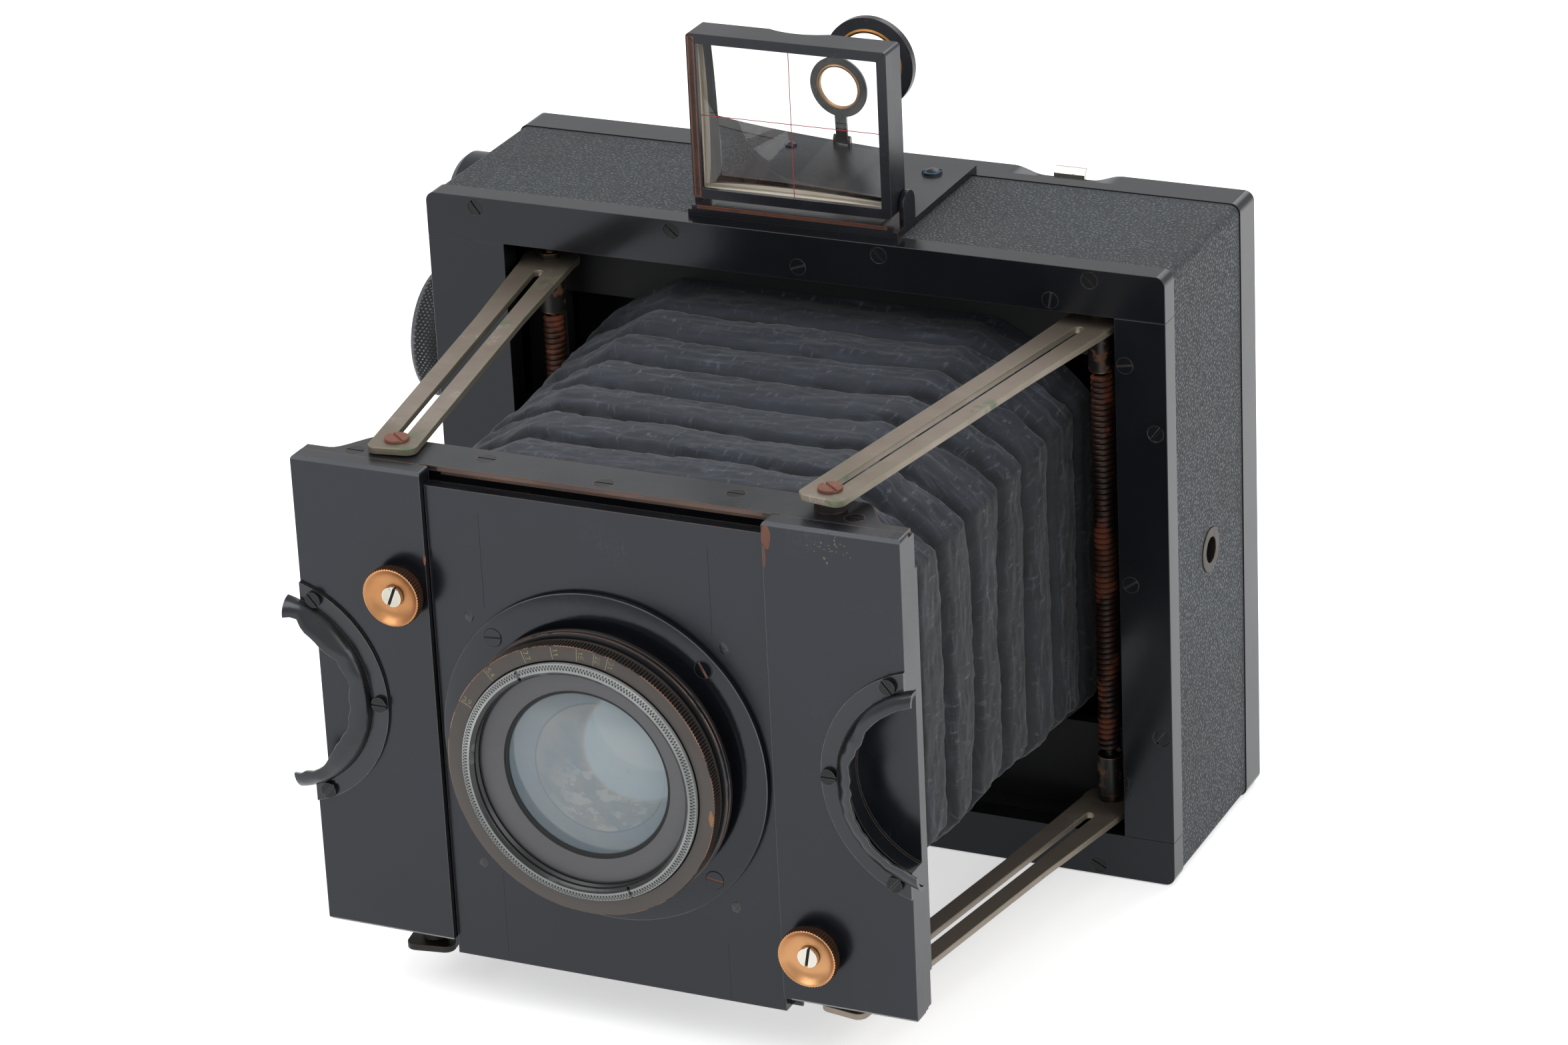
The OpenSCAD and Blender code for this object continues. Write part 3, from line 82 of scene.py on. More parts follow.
class Body(Enum):
    """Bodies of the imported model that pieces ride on."""

    CAMERA = "camera_body"
    STANDARD = "standard"
    LENS_PANEL = "lens_panel"
    APERTURE = "aperture"
    FINDER = "finder"
    EYEPIECE = "eyepiece"
    WINDING = "winding"
    STRUTS_RIGHT = "struts_right"
    STRUTS_LEFT = "struts_left"
    CLAMP_UPPER = "clamp_upper"
    CLAMP_LOWER = "clamp_lower"


def srgb(code: str) -> Colour:
    """Turns a six-digit colour code into linear light.

    Args:
        code: The colour as red, green and blue in hexadecimal.

    Returns:
        The three channels in linear light.
    """
    parts = [int(code[i:i + 2], 16) / 255 for i in (0, 2, 4)]
    return tuple(p / 12.92 if p <= 0.04045 else ((p + 0.055) / 1.055) ** 2.4 for p in parts)


# Shader node groups

class Nodes:
    """Short way to add and join nodes in one node tree."""

    def __init__(self, tree: bpy.types.NodeTree) -> None:
        """Keeps the tree that the nodes go into."""
        self.tree = tree

    def add(self, kind: str, **settings: object) -> bpy.types.Node:
        """Adds one node.

        Args:
            kind: Blender's name of the node type.
            **settings: Properties of the node.

        Returns:
            The new node.
        """
        node = self.tree.nodes.new(kind)
        for key, value in settings.items():
            setattr(node, key, value)
        return node

    def feed(self, socket: bpy.types.NodeSocket, value: object) -> None:
        """Joins an output to the socket, or sets the socket's own value.

        Args:
            socket: The input that is fed.
            value: Output of another node, or a value.
        """
        if isinstance(value, bpy.types.NodeSocket):
            self.tree.links.new(value, socket)
        elif isinstance(value, tuple) and len(value) == 3 and socket.type == "RGBA":
            socket.default_value = (*value, 1)
        else:
            socket.default_value = value

    def math(self, kind: str, a: object, b: object = 0.0, clamp: bool = False) -> bpy.types.NodeSocket:
        """Adds a Math node.

        Args:
            kind: Blender's name of the operation.
            a: First value or output.
            b: Second value or output.
            clamp: Whether the result is kept from 0 to 1.

        Returns:
            The node's output.
        """
        node = self.add("ShaderNodeMath", operation=kind, use_clamp=clamp)
        for socket, value in zip(node.inputs, (a, b)):
            self.feed(socket, value)
        return node.outputs[0]

    def mix(self, amount: object, a: object, b: object) -> bpy.types.NodeSocket:
        """Mixes two colours.

        Args:
            amount: Share of the second colour.
            a: First colour or output.
            b: Second colour or output.

        Returns:
            The mixed colour.
        """
        node = self.add("ShaderNodeMix", data_type="RGBA")
        for socket, value in zip(node.inputs[:1] + node.inputs[6:8], (amount, a, b)):
            self.feed(socket, value)
        return node.outputs[2]

    def blend(self, amount: object, a: object, b: object) -> bpy.types.NodeSocket:
        """Mixes two numbers.

        Args:
            amount: Share of the second number.
            a: First number or output.
            b: Second number or output.

        Returns:
            The mixed number.
        """
        node = self.add("ShaderNodeMix", data_type="FLOAT")
        for socket, value in zip(node.inputs[:1] + node.inputs[2:4], (amount, a, b)):
            self.feed(socket, value)
        return node.outputs[0]

    def over(self, colour: object, code: str, mask: object, share: float) -> bpy.types.NodeSocket:
        """Lays one colour over another where a mask is set.

        Args:
            colour: The colour below.
            code: Six-digit code of the colour on top.
            mask: Where the upper colour lies.
            share: How far it covers there.

        Returns:
            The mixed colour.
        """
        return self.mix(self.math("MULTIPLY", mask, share), colour, srgb(code))

    def bump(self, height: object, distance: float, strength: float = 1.0) -> bpy.types.NodeSocket:
        """Adds a bump.

        Args:
            height: Height from 0 to 1 or so.
            distance: What a height of 1 stands for, in millimetres.
            strength: Strength of the bump.

        Returns:
            The bent normal.
        """
        node = self.add("ShaderNodeBump")
        node.inputs["Strength"].default_value = strength
        node.inputs["Distance"].default_value = distance * MM
        self.feed(node.inputs["Height"], height)
        return node.outputs[0]

    def step(self, value: object, low: object, high: object) -> bpy.types.NodeSocket:
        """Rises smoothly from 0 to 1 as a value goes from low to high.

        Args:
            value: The value.
            low: Where the rise starts.
            high: Where the rise ends.

        Returns:
            The eased share.
        """
        node = self.add("ShaderNodeMapRange", interpolation_type="SMOOTHSTEP")
        for socket, item in zip(node.inputs[:3], (value, low, high)):
            self.feed(socket, item)
        return node.outputs[0]

    def place(self, scale: Sequence[float] = (1, 1, 1),
              shift: Sequence[float] = (0, 0, 0)) -> bpy.types.NodeSocket:
        """Object coordinates, stretched and shifted.

        Args:
            scale: Stretch along each axis.
            shift: Shift along each axis.

        Returns:
            The coordinates.
        """
        source = self.add("ShaderNodeTexCoord").outputs["Object"]
        mapping = self.add("ShaderNodeMapping")
        self.feed(mapping.inputs["Vector"], source)
        mapping.inputs["Scale"].default_value = scale
        mapping.inputs["Location"].default_value = shift
        return mapping.outputs[0]

    def noise(self, vector: object, scale: object, detail: float = 4.0,
              rough: float = 0.55) -> bpy.types.NodeSocket:
        """Adds noise.

        Args:
            vector: Coordinates that it reads.
            scale: Its scale.
            detail: Its detail.
            rough: Its roughness.

        Returns:
            The noise, from 0 to 1.
        """
        node = self.add("ShaderNodeTexNoise")
        self.feed(node.inputs["Vector"], vector)
        self.feed(node.inputs["Scale"], scale)
        node.inputs["Detail"].default_value = detail
        node.inputs["Roughness"].default_value = rough
        return node.outputs[0]


def make_group(name: str, inputs: dict[str, float], outputs: Sequence[str]) -> tuple[
        bpy.types.NodeTree, Nodes, bpy.types.Node, bpy.types.Node]:
    """Makes an empty shader node group.

    Args:
        name: Name of the group.
        inputs: Names and default values of its number inputs.
        outputs: Names of its number outputs.

    Returns:
        The group, a helper for its nodes, its input node and its output node.
    """
    tree = bpy.data.node_groups.new(name, "ShaderNodeTree")
    for key, value in inputs.items():
        socket = tree.interface.new_socket(key, in_out="INPUT", socket_type="NodeSocketFloat")
        socket.default_value = value
    for key in outputs:
        tree.interface.new_socket(key, in_out="OUTPUT", socket_type="NodeSocketFloat")
    kit = Nodes(tree)
    return tree, kit, kit.add("NodeGroupInput"), kit.add("NodeGroupOutput")


def edge_wear_group() -> bpy.types.NodeTree:
    """Mask of rubbed edges: how far a rounded normal turns from the true one, broken up by noise.

    Returns:
        The group.
    """
    tree, kit, given, out = make_group("edge_wear", {"Radius": 0.0006, "Amount": 1.0, "Scale": 300.0},
                                       ["Mask"])
    bevel = kit.add("ShaderNodeBevel", samples=6)
    kit.feed(bevel.inputs["Radius"], given.outputs["Radius"])
    true_normal = kit.add("ShaderNodeNewGeometry").outputs["Normal"]
    dot = kit.add("ShaderNodeVectorMath", operation="DOT_PRODUCT")
    kit.feed(dot.inputs[0], bevel.outputs[0])
    kit.feed(dot.inputs[1], true_normal)
    bend = kit.math("SUBTRACT", 1.0, dot.outputs["Value"])
    breakup = kit.noise(kit.place(), given.outputs["Scale"], 5.0, 0.65)
    reach = kit.math("MULTIPLY", bend, kit.math("MULTIPLY", given.outputs["Amount"], 6.0))
    kit.feed(out.inputs["Mask"], kit.step(kit.math("MULTIPLY", reach, breakup), 0.12, 0.5))
    return tree


def grain_group() -> bpy.types.NodeTree:
    """Fine unevenness of a hand-rubbed coat: two sizes of noise, as a height and as a broad mask.

    Returns:
        The group.
    """
    tree, kit, given, out = make_group("coat_grain", {"Scale": 500.0, "Broad Scale": 25.0},
                                       ["Height", "Broad"])
    fine = kit.noise(kit.place(), given.outputs["Scale"], 3.0, 0.5)
    broad = kit.noise(kit.place(shift=(3, 1, 2)), given.outputs["Broad Scale"], 4.0, 0.6)
    kit.feed(out.inputs["Height"], fine)
    kit.feed(out.inputs["Broad"], kit.step(broad, 0.35, 0.68))
    return tree


def pebble_group() -> bpy.types.NodeTree:
    """Pebbled leather: cells whose edges sink, wrinkled by noise.

    Returns:
        The group.
    """
    tree, kit, given, out = make_group("pebble_grain", {"Scale": 900.0, "Wrinkle": 0.0012},
                                       ["Height", "Valley"])
    place = kit.place()
    warp = kit.add("ShaderNodeTexNoise")
    kit.feed(warp.inputs["Vector"], place)
    warp.inputs["Scale"].default_value = 260
    warp.inputs["Detail"].default_value = 3
    shift = kit.add("ShaderNodeVectorMath", operation="SCALE")
    kit.feed(shift.inputs[0], warp.outputs["Color"])
    kit.feed(shift.inputs["Scale"], given.outputs["Wrinkle"])
    moved = kit.add("ShaderNodeVectorMath", operation="ADD")
    kit.feed(moved.inputs[0], place)
    kit.feed(moved.inputs[1], shift.outputs[0])
    cells = kit.add("ShaderNodeTexVoronoi", feature="DISTANCE_TO_EDGE")
    kit.feed(cells.inputs["Vector"], moved.outputs[0])
    kit.feed(cells.inputs["Scale"], given.outputs["Scale"])
    dome = kit.step(cells.outputs["Distance"], 0.0, 0.32)
    soft = kit.noise(place, 180.0, 3.0, 0.6)
    kit.feed(out.inputs["Height"], kit.math("ADD", dome, kit.math("MULTIPLY", soft, 0.7)))
    kit.feed(out.inputs["Valley"], kit.math("SUBTRACT", 1.0, dome))
    return tree


def scratch_group() -> bpy.types.NodeTree:
    """Fine straight scratches: noise stretched along one direction and cut to thin lines.

    Returns:
        The group.
    """
    tree, kit, given, out = make_group("scratches", {"Scale": 60.0, "Density": 0.4}, ["Mask"])
    total: object = 0.0
    for scale, shift in (((1, 14, 14), (0, 0, 0)), ((13, 1, 9), (5, 2, 1)), ((11, 12, 1), (2, 7, 4))):
        field = kit.noise(kit.place(scale, shift), given.outputs["Scale"], 2.0, 0.5)
        line = kit.math("SUBTRACT", 1.0, kit.step(kit.math("ABSOLUTE", kit.math("SUBTRACT", field, 0.5)),
                                                  0.0, 0.012))
        total = kit.math("MAXIMUM", total, line)
    patches = kit.step(kit.noise(kit.place(shift=(1, 4, 9)), 45.0, 2.0), 0.62, 0.75)
    kit.feed(out.inputs["Mask"], kit.math("MULTIPLY", kit.math("MULTIPLY", total, patches),
                                          given.outputs["Density"]))
    return tree


def stain_group() -> bpy.types.NodeTree:
    """Patches of rust, verdigris or grime: noise lifted over a threshold, with ragged edges.

    Returns:
        The group.
    """
    tree, kit, given, out = make_group("stains", {"Scale": 120.0, "Cover": 0.4, "Softness": 0.12},
                                       ["Mask", "Fine"])
    field = kit.noise(kit.place(), given.outputs["Scale"], 7.0, 0.62)
    level = kit.math("SUBTRACT", 0.72, kit.math("MULTIPLY", given.outputs["Cover"], 0.45))
    high = kit.math("ADD", level, given.outputs["Softness"])
    kit.feed(out.inputs["Mask"], kit.step(field, level, high))
    kit.feed(out.inputs["Fine"], kit.noise(kit.place(shift=(9, 9, 9)),
                                           kit.math("MULTIPLY", given.outputs["Scale"], 7.0), 5.0, 0.7))
    return tree


def dust_group() -> bpy.types.NodeTree:
    """Dust that lies on faces that look up at rest, in small specks.

    Returns:
        The group.
    """
    tree, kit, given, out = make_group("dust", {"Amount": 0.3, "Scale": 900.0}, ["Mask"])
    normal = kit.add("ShaderNodeTexCoord").outputs["Normal"]
    split = kit.add("ShaderNodeSeparateXYZ")
    kit.feed(split.inputs[0], normal)
    up = kit.step(split.outputs["Z"], -0.4, 1.0)
    specks = kit.step(kit.noise(kit.place(), given.outputs["Scale"], 2.0, 0.6), 0.66, 0.8)
    film = kit.math("MULTIPLY", kit.noise(kit.place(shift=(2, 2, 2)), 60.0, 4.0), 0.16)
    both = kit.math("ADD", specks, film)
    kit.feed(out.inputs["Mask"], kit.math("MULTIPLY", kit.math("MULTIPLY", both, up),
                                          given.outputs["Amount"], clamp=True))
    return tree


class Groups:
    """The shader node groups, each built once."""

    def __init__(self) -> None:
        """Builds every group."""
        self.edge = edge_wear_group()
        self.grain = grain_group()
        self.pebble = pebble_group()
        self.scratch = scratch_group()
        self.stain = stain_group()
        self.dust = dust_group()

    @staticmethod
    def use(kit: Nodes, tree: bpy.types.NodeTree, **values: object) -> bpy.types.Node:
        """Puts a group into a material and sets its inputs, whose spaces are written as underscores.

        Args:
            kit: Helper for the material's nodes.
            tree: The group.
            **values: Values or outputs for the group's inputs.

        Returns:
            The group's node.
        """
        node = kit.add("ShaderNodeGroup", node_tree=tree)
        for key, value in values.items():
            kit.feed(node.inputs[key.replace("_", " ")], value)
        return node


# Finishes

def new_material(name: str) -> tuple[bpy.types.Material, Nodes, bpy.types.Node]:
    """Makes a material.

    Args:
        name: Its name.

    Returns:
        The material, a helper for its nodes and its shader.
    """
    material = bpy.data.materials.new(name)
    material.use_nodes = True
    return material, Nodes(material.node_tree), material.node_tree.nodes["Principled BSDF"]


@dataclass(frozen=True)
class Finish:
    """A hard finish with worn edges, stains, scratches and dust.

    Colours are six-digit codes, the rounding that finds the edges is in metres, and the bump is in
    millimetres."""

    name: str
    base: str
    broad: str
    roughness: float = 0.35
    rough_spread: float = 0.12
    metallic: float = 0.0
    coat: float = 0.0
    edge: Optional[str] = None
    edge_radius: float = 0.0005
    edge_amount: float = 1.0
    edge_metallic: float = 0.0
    stain: Optional[str] = None
    stain_scale: float = 120.0
    stain_cover: float = 0.3
    stain_rough: float = 0.8
    scratch: Optional[str] = None
    scratch_density: float = 0.4
    dust: float = 0.12
    bump: float = 0.05
    bump_scale: float = 700.0
    specular: float = 0.5
    tint: Colour = (1.0, 1.0, 1.0)
    groove: Optional[str] = None

    def build(self, groups: Groups) -> bpy.types.Material:
        """Makes the material. A groove colour fills the places that the piece marks as "rib" grooves.

        Args:
            groups: The shared node groups.

        Returns:
            The finished material.
        """
        material, kit, shader = new_material(self.name)
        grain = groups.use(kit, groups.grain, Scale=self.bump_scale, Broad_Scale=28.0)
        colour = kit.mix(grain.outputs["Broad"], srgb(self.base), srgb(self.broad))
        rough: object = kit.blend(grain.outputs["Broad"], self.roughness, self.roughness + self.rough_spread)
        metal: object = self.metallic
        height: object = grain.outputs["Height"]
        if self.stain is not None:
            stain = groups.use(kit, groups.stain, Scale=self.stain_scale, Cover=self.stain_cover,
                               Softness=0.1)
            pale = srgb(self.stain)
            dark = tuple(c * 0.45 for c in pale)
            colour = kit.mix(stain.outputs["Mask"], colour, kit.mix(stain.outputs["Fine"], dark, pale))
            rough = kit.blend(stain.outputs["Mask"], rough, self.stain_rough)
            metal = kit.blend(stain.outputs["Mask"], metal, 0.0)
            height = kit.math("ADD", height, kit.math("MULTIPLY", stain.outputs["Fine"],
                                                      stain.outputs["Mask"]))
        if self.scratch is not None:
            scratch = groups.use(kit, groups.scratch, Scale=60.0, Density=self.scratch_density)
            colour = kit.mix(scratch.outputs["Mask"], colour, srgb(self.scratch))
            rough = kit.blend(scratch.outputs["Mask"], rough, 0.55)
        if self.edge is not None:
            edge = groups.use(kit, groups.edge, Radius=self.edge_radius, Amount=self.edge_amount, Scale=420.0)
            colour = kit.mix(edge.outputs["Mask"], colour, srgb(self.edge))
            rough = kit.blend(edge.outputs["Mask"], rough, 0.42)
            metal = kit.blend(edge.outputs["Mask"], metal, self.edge_metallic)
        if self.groove is not None:
            deep = kit.step(kit.add("ShaderNodeAttribute", attribute_name="rib").outputs["Fac"], 0.35, 0.75)
            colour = kit.mix(deep, colour, srgb(self.groove))
            rough = kit.blend(deep, rough, 0.7)
            metal = kit.blend(deep, metal, 0.0)
        if self.dust > 0:
            dust = groups.use(kit, groups.dust, Amount=self.dust, Scale=1100.0)
            colour = kit.mix(dust.outputs["Mask"], colour, srgb("8f8f8c"))
            rough = kit.blend(dust.outputs["Mask"], rough, 0.85)
            metal = kit.blend(dust.outputs["Mask"], metal, 0.0)
        kit.feed(shader.inputs["Base Color"], colour)
        kit.feed(shader.inputs["Roughness"], rough)
        kit.feed(shader.inputs["Metallic"], metal)
        kit.feed(shader.inputs["Normal"], kit.bump(height, self.bump))
        shader.inputs["Specular IOR Level"].default_value = self.specular
        shader.inputs["Specular Tint"].default_value = (*self.tint, 1)
        shader.inputs["Coat Weight"].default_value = self.coat
        shader.inputs["Coat Roughness"].default_value = 0.12
        return material


@dataclass(frozen=True)
class Leather:
    """Fine pebbled leather, dark blue-grey, darker in its valleys."""

    name: str = "pebbled_leather"
    base: Colour = srgb("2a3036")
    rubbed: Colour = srgb("4a5258")

    def build(self, groups: Groups) -> bpy.types.Material:
        """Makes the material.

        Args:
            groups: The shared node groups.

        Returns:
            The finished material.
        """
        material, kit, shader = new_material(self.name)
        pebble = groups.use(kit, groups.pebble, Scale=1000.0, Wrinkle=0.0014)
        grain = groups.use(kit, groups.grain, Scale=300.0, Broad_Scale=22.0)
        colour = kit.mix(grain.outputs["Broad"], self.base, tuple(c * 1.5 for c in self.base))
        colour = kit.over(colour, "14171a", pebble.outputs["Valley"], 0.7)
        edge = groups.use(kit, groups.edge, Radius=0.0008, Amount=1.0, Scale=500.0)
        colour = kit.mix(edge.outputs["Mask"], colour, self.rubbed)
        dust = groups.use(kit, groups.dust, Amount=0.25, Scale=1300.0)
        colour = kit.mix(dust.outputs["Mask"], colour, srgb("8f9292"))
        kit.feed(shader.inputs["Base Color"], colour)
        kit.feed(shader.inputs["Roughness"], kit.blend(pebble.outputs["Valley"], 0.46, 0.8))
        kit.feed(shader.inputs["Normal"], kit.bump(pebble.outputs["Height"], 0.16, 0.9))
        return material


@dataclass(frozen=True)
class BellowsCloth:
    """Matt slate cloth with pale scuffs that run along the folds, and painted light that makes the faces that
    look up paler. It reads the piece's own UV map:
    u runs round the bellows and v from the rear to the front, both in metres."""

    name: str = "bellows_cloth"
    base: Colour = srgb("15181e")
    shade: Colour = srgb("0c0e12")
    scuff: Colour = srgb("646b78")

    def build(self, groups: Groups) -> bpy.types.Material:
        """Makes the material.

        Args:
            groups: The shared node groups.

        Returns:
            The finished material.
        """
        material, kit, shader = new_material(self.name)
        uv = kit.add("ShaderNodeUVMap", uv_map="cloth").outputs[0]

        def streak(scale: tuple[float, float, float], size: float, detail: float) -> bpy.types.NodeSocket:
            """Noise drawn out along the folds.

            Args:
                scale: Stretch along each axis.
                size: Scale of the noise.
                detail: Detail of the noise.

            Returns:
                The noise, from 0 to 1.
            """
            mapping = kit.add("ShaderNodeMapping")
            kit.feed(mapping.inputs["Vector"], uv)
            mapping.inputs["Scale"].default_value = scale
            return kit.noise(mapping.outputs[0], size, detail, 0.66)

        broad = kit.step(streak((1, 2.2, 1), 26.0, 4.0), 0.35, 0.7)
        rubbed = kit.step(streak((0.35, 3.0, 1), 160.0, 7.0), 0.5, 0.78)
        threads = kit.step(streak((2.4, 0.8, 1), 300.0, 4.0), 0.56, 0.68)
        crest = kit.add("ShaderNodeAttribute", attribute_name="crest").outputs["Fac"]
        colour = kit.mix(broad, self.shade, self.base)
        # Painted light: faces that look up are laid over with a paler slate, as if lit from above.
        split = kit.add("ShaderNodeSeparateXYZ")
        kit.feed(split.inputs[0], kit.add("ShaderNodeTexCoord").outputs["Normal"])
        painted_top_light = kit.step(split.outputs["Z"], 0.2, 0.95)
        colour = kit.over(colour, "363c48", painted_top_light, 0.4)
        wear = kit.math("MULTIPLY", rubbed, kit.math("ADD", 0.1, kit.math("MULTIPLY", crest, 0.6)))
        colour = kit.mix(wear, colour, self.scuff)
        colour = kit.mix(kit.math("MULTIPLY", threads, kit.math("MULTIPLY", crest, 0.26)), colour,
                         srgb("858b96"))
        weave = kit.add("ShaderNodeTexNoise")
        kit.feed(weave.inputs["Vector"], uv)
        weave.inputs["Scale"].default_value = 1500
        height = kit.math("ADD", kit.math("MULTIPLY", weave.outputs[0], 0.2),
                          streak((0.75, 1.5, 1), 190.0, 7.0))
        kit.feed(shader.inputs["Base Color"], colour)
        kit.feed(shader.inputs["Roughness"], kit.blend(rubbed, 0.72, 0.9))
        kit.feed(shader.inputs["Normal"], kit.bump(height, 0.28, 0.7))
        shader.inputs["Sheen Weight"].default_value = 0.12
        shader.inputs["Sheen Roughness"].default_value = 0.5
        shader.inputs["Specular IOR Level"].default_value = 0.3
        return material


@dataclass(frozen=True)
class Glass:
    """Clear or hazy glass: transmission stays plain, and the haze changes the colour and the roughness.
    The shine is the share of the usual reflection that is left."""

    name: str
    tint: Colour
    roughness: float = 0.02
    spread: float = 0.03
    transmission: float = 1.0
    ior: float = 1.5
    haze: float = 0.25
    shine: float = 1.0

    def build(self, groups: Groups) -> bpy.types.Material:
        """Makes the material.

        Args:
            groups: The shared node groups.

        Returns:
            The finished material.
        """
        material, kit, shader = new_material(self.name)
        stain = groups.use(kit, groups.stain, Scale=70.0, Cover=0.5, Softness=0.3)
        rough = kit.blend(stain.outputs["Mask"], self.roughness, self.roughness + self.spread)
        colour = kit.mix(kit.math("MULTIPLY", stain.outputs["Mask"], self.haze), self.tint, srgb("c9c6b8"))
        kit.feed(shader.inputs["Base Color"], colour)
        kit.feed(shader.inputs["Roughness"], rough)
        shader.inputs["Transmission Weight"].default_value = self.transmission
        shader.inputs["IOR"].default_value = self.ior
        shader.inputs["Specular Tint"].default_value = (self.shine, self.shine, self.shine, 1)
        return material


@dataclass(frozen=True)
class HazedGlass:
    """Old front glass: mostly clear, with a blue-grey haze on which the soft reflections of the inner faces
    are painted as pale discs, a dark ring where the inner element is held, and pale spots of separation.

    The discs and the ring are distances from points in the plane of the glass, so they are read
    from object coordinates."""

    name: str = "hazed_front_glass"
    centre: tuple[float, float] = (AXIS_X, LENS_Z)

    def build(self, groups: Groups) -> bpy.types.Material:
        """Makes the material.

        Args:
            groups: The shared node groups.

        Returns:
            The finished material.
        """
        material, kit, shader = new_material(self.name)
        flat = kit.place((1, 0, 1))
        wobble = kit.math("MULTIPLY", kit.math("SUBTRACT", kit.noise(kit.place(), 70.0, 3.0), 0.5), 0.0012)

        def disc(x: float, z: float, radius: float, soft: float) -> bpy.types.NodeSocket:
            """Mask of a disc, measured in millimetres from the middle of the glass.

            Args:
                x: Its middle across.
                z: Its middle upwards.
                radius: Its radius.
                soft: Half the width of its soft rim.

            Returns:
                The mask.
            """
            away = kit.add("ShaderNodeVectorMath", operation="DISTANCE")
            kit.feed(away.inputs[0], flat)
            away.inputs[1].default_value = ((self.centre[0] + x) * MM, 0, (self.centre[1] + z) * MM)
            reach = kit.math("ADD", away.outputs["Value"], wobble)
            return kit.math("SUBTRACT", 1.0, kit.step(reach, (radius - soft) * MM, (radius + soft) * MM))

        broad = kit.step(kit.noise(kit.place(shift=(4, 2, 6)), 60.0, 5.0, 0.65), 0.3, 0.72)
        colour = kit.mix(broad, srgb("71818a"), srgb("8b8d8c"))
        middle = disc(3.6, 2.6, 15.25, 0.18)
        ring = kit.math("SUBTRACT", disc(3.6, 2.6, 15.6, 0.2), middle, clamp=True)
        outside = kit.math("SUBTRACT", 1.0, middle)
        colour = kit.over(colour, "71838e", outside, 0.5)
        colour = kit.over(colour, "55636c", ring, 0.4)
        # Painted reflections: the pale discs and the warm rim stand in for soft reflections of the inner
        # glass faces.
        large = disc(13.8, 9.5, 13.1, 0.5)
        colour = kit.over(colour, "97a8b0", large, 0.55)
        rim = kit.math("SUBTRACT", disc(13.8, 9.5, 13.8, 0.6), large, clamp=True)
        colour = kit.over(colour, "a79e8e", rim, 0.3)
        small = kit.math("MULTIPLY", disc(19.0, 21.0, 17.2, 0.6), large)
        colour = kit.over(colour, "a2a9aa", small, 0.35)
        ragged = kit.step(kit.noise(kit.place((1.0, 1.0, 1.6), (0, 3, 1)), 230.0, 6.0, 0.62), 0.5, 0.57)
        low = kit.math("MULTIPLY", disc(4.5, -4.6, 10.5, 4.5), middle)
        spots = kit.math("MULTIPLY", kit.math("MULTIPLY", ragged, low), kit.math("SUBTRACT", 1.0, large))
        colour = kit.over(colour, "b0ada4", spots, 0.2)
        dirt = groups.use(kit, groups.stain, Scale=300.0, Cover=0.14, Softness=0.05)
        colour = kit.over(colour, "8d8468", dirt.outputs["Mask"], 0.35)
        kit.feed(shader.inputs["Base Color"], colour)
        kit.feed(shader.inputs["Alpha"], kit.blend(spots, kit.blend(large, 0.76, 0.82), 0.84))
        shader.inputs["Roughness"].default_value = 0.08
        shader.inputs["Specular IOR Level"].default_value = 0.6
        return material


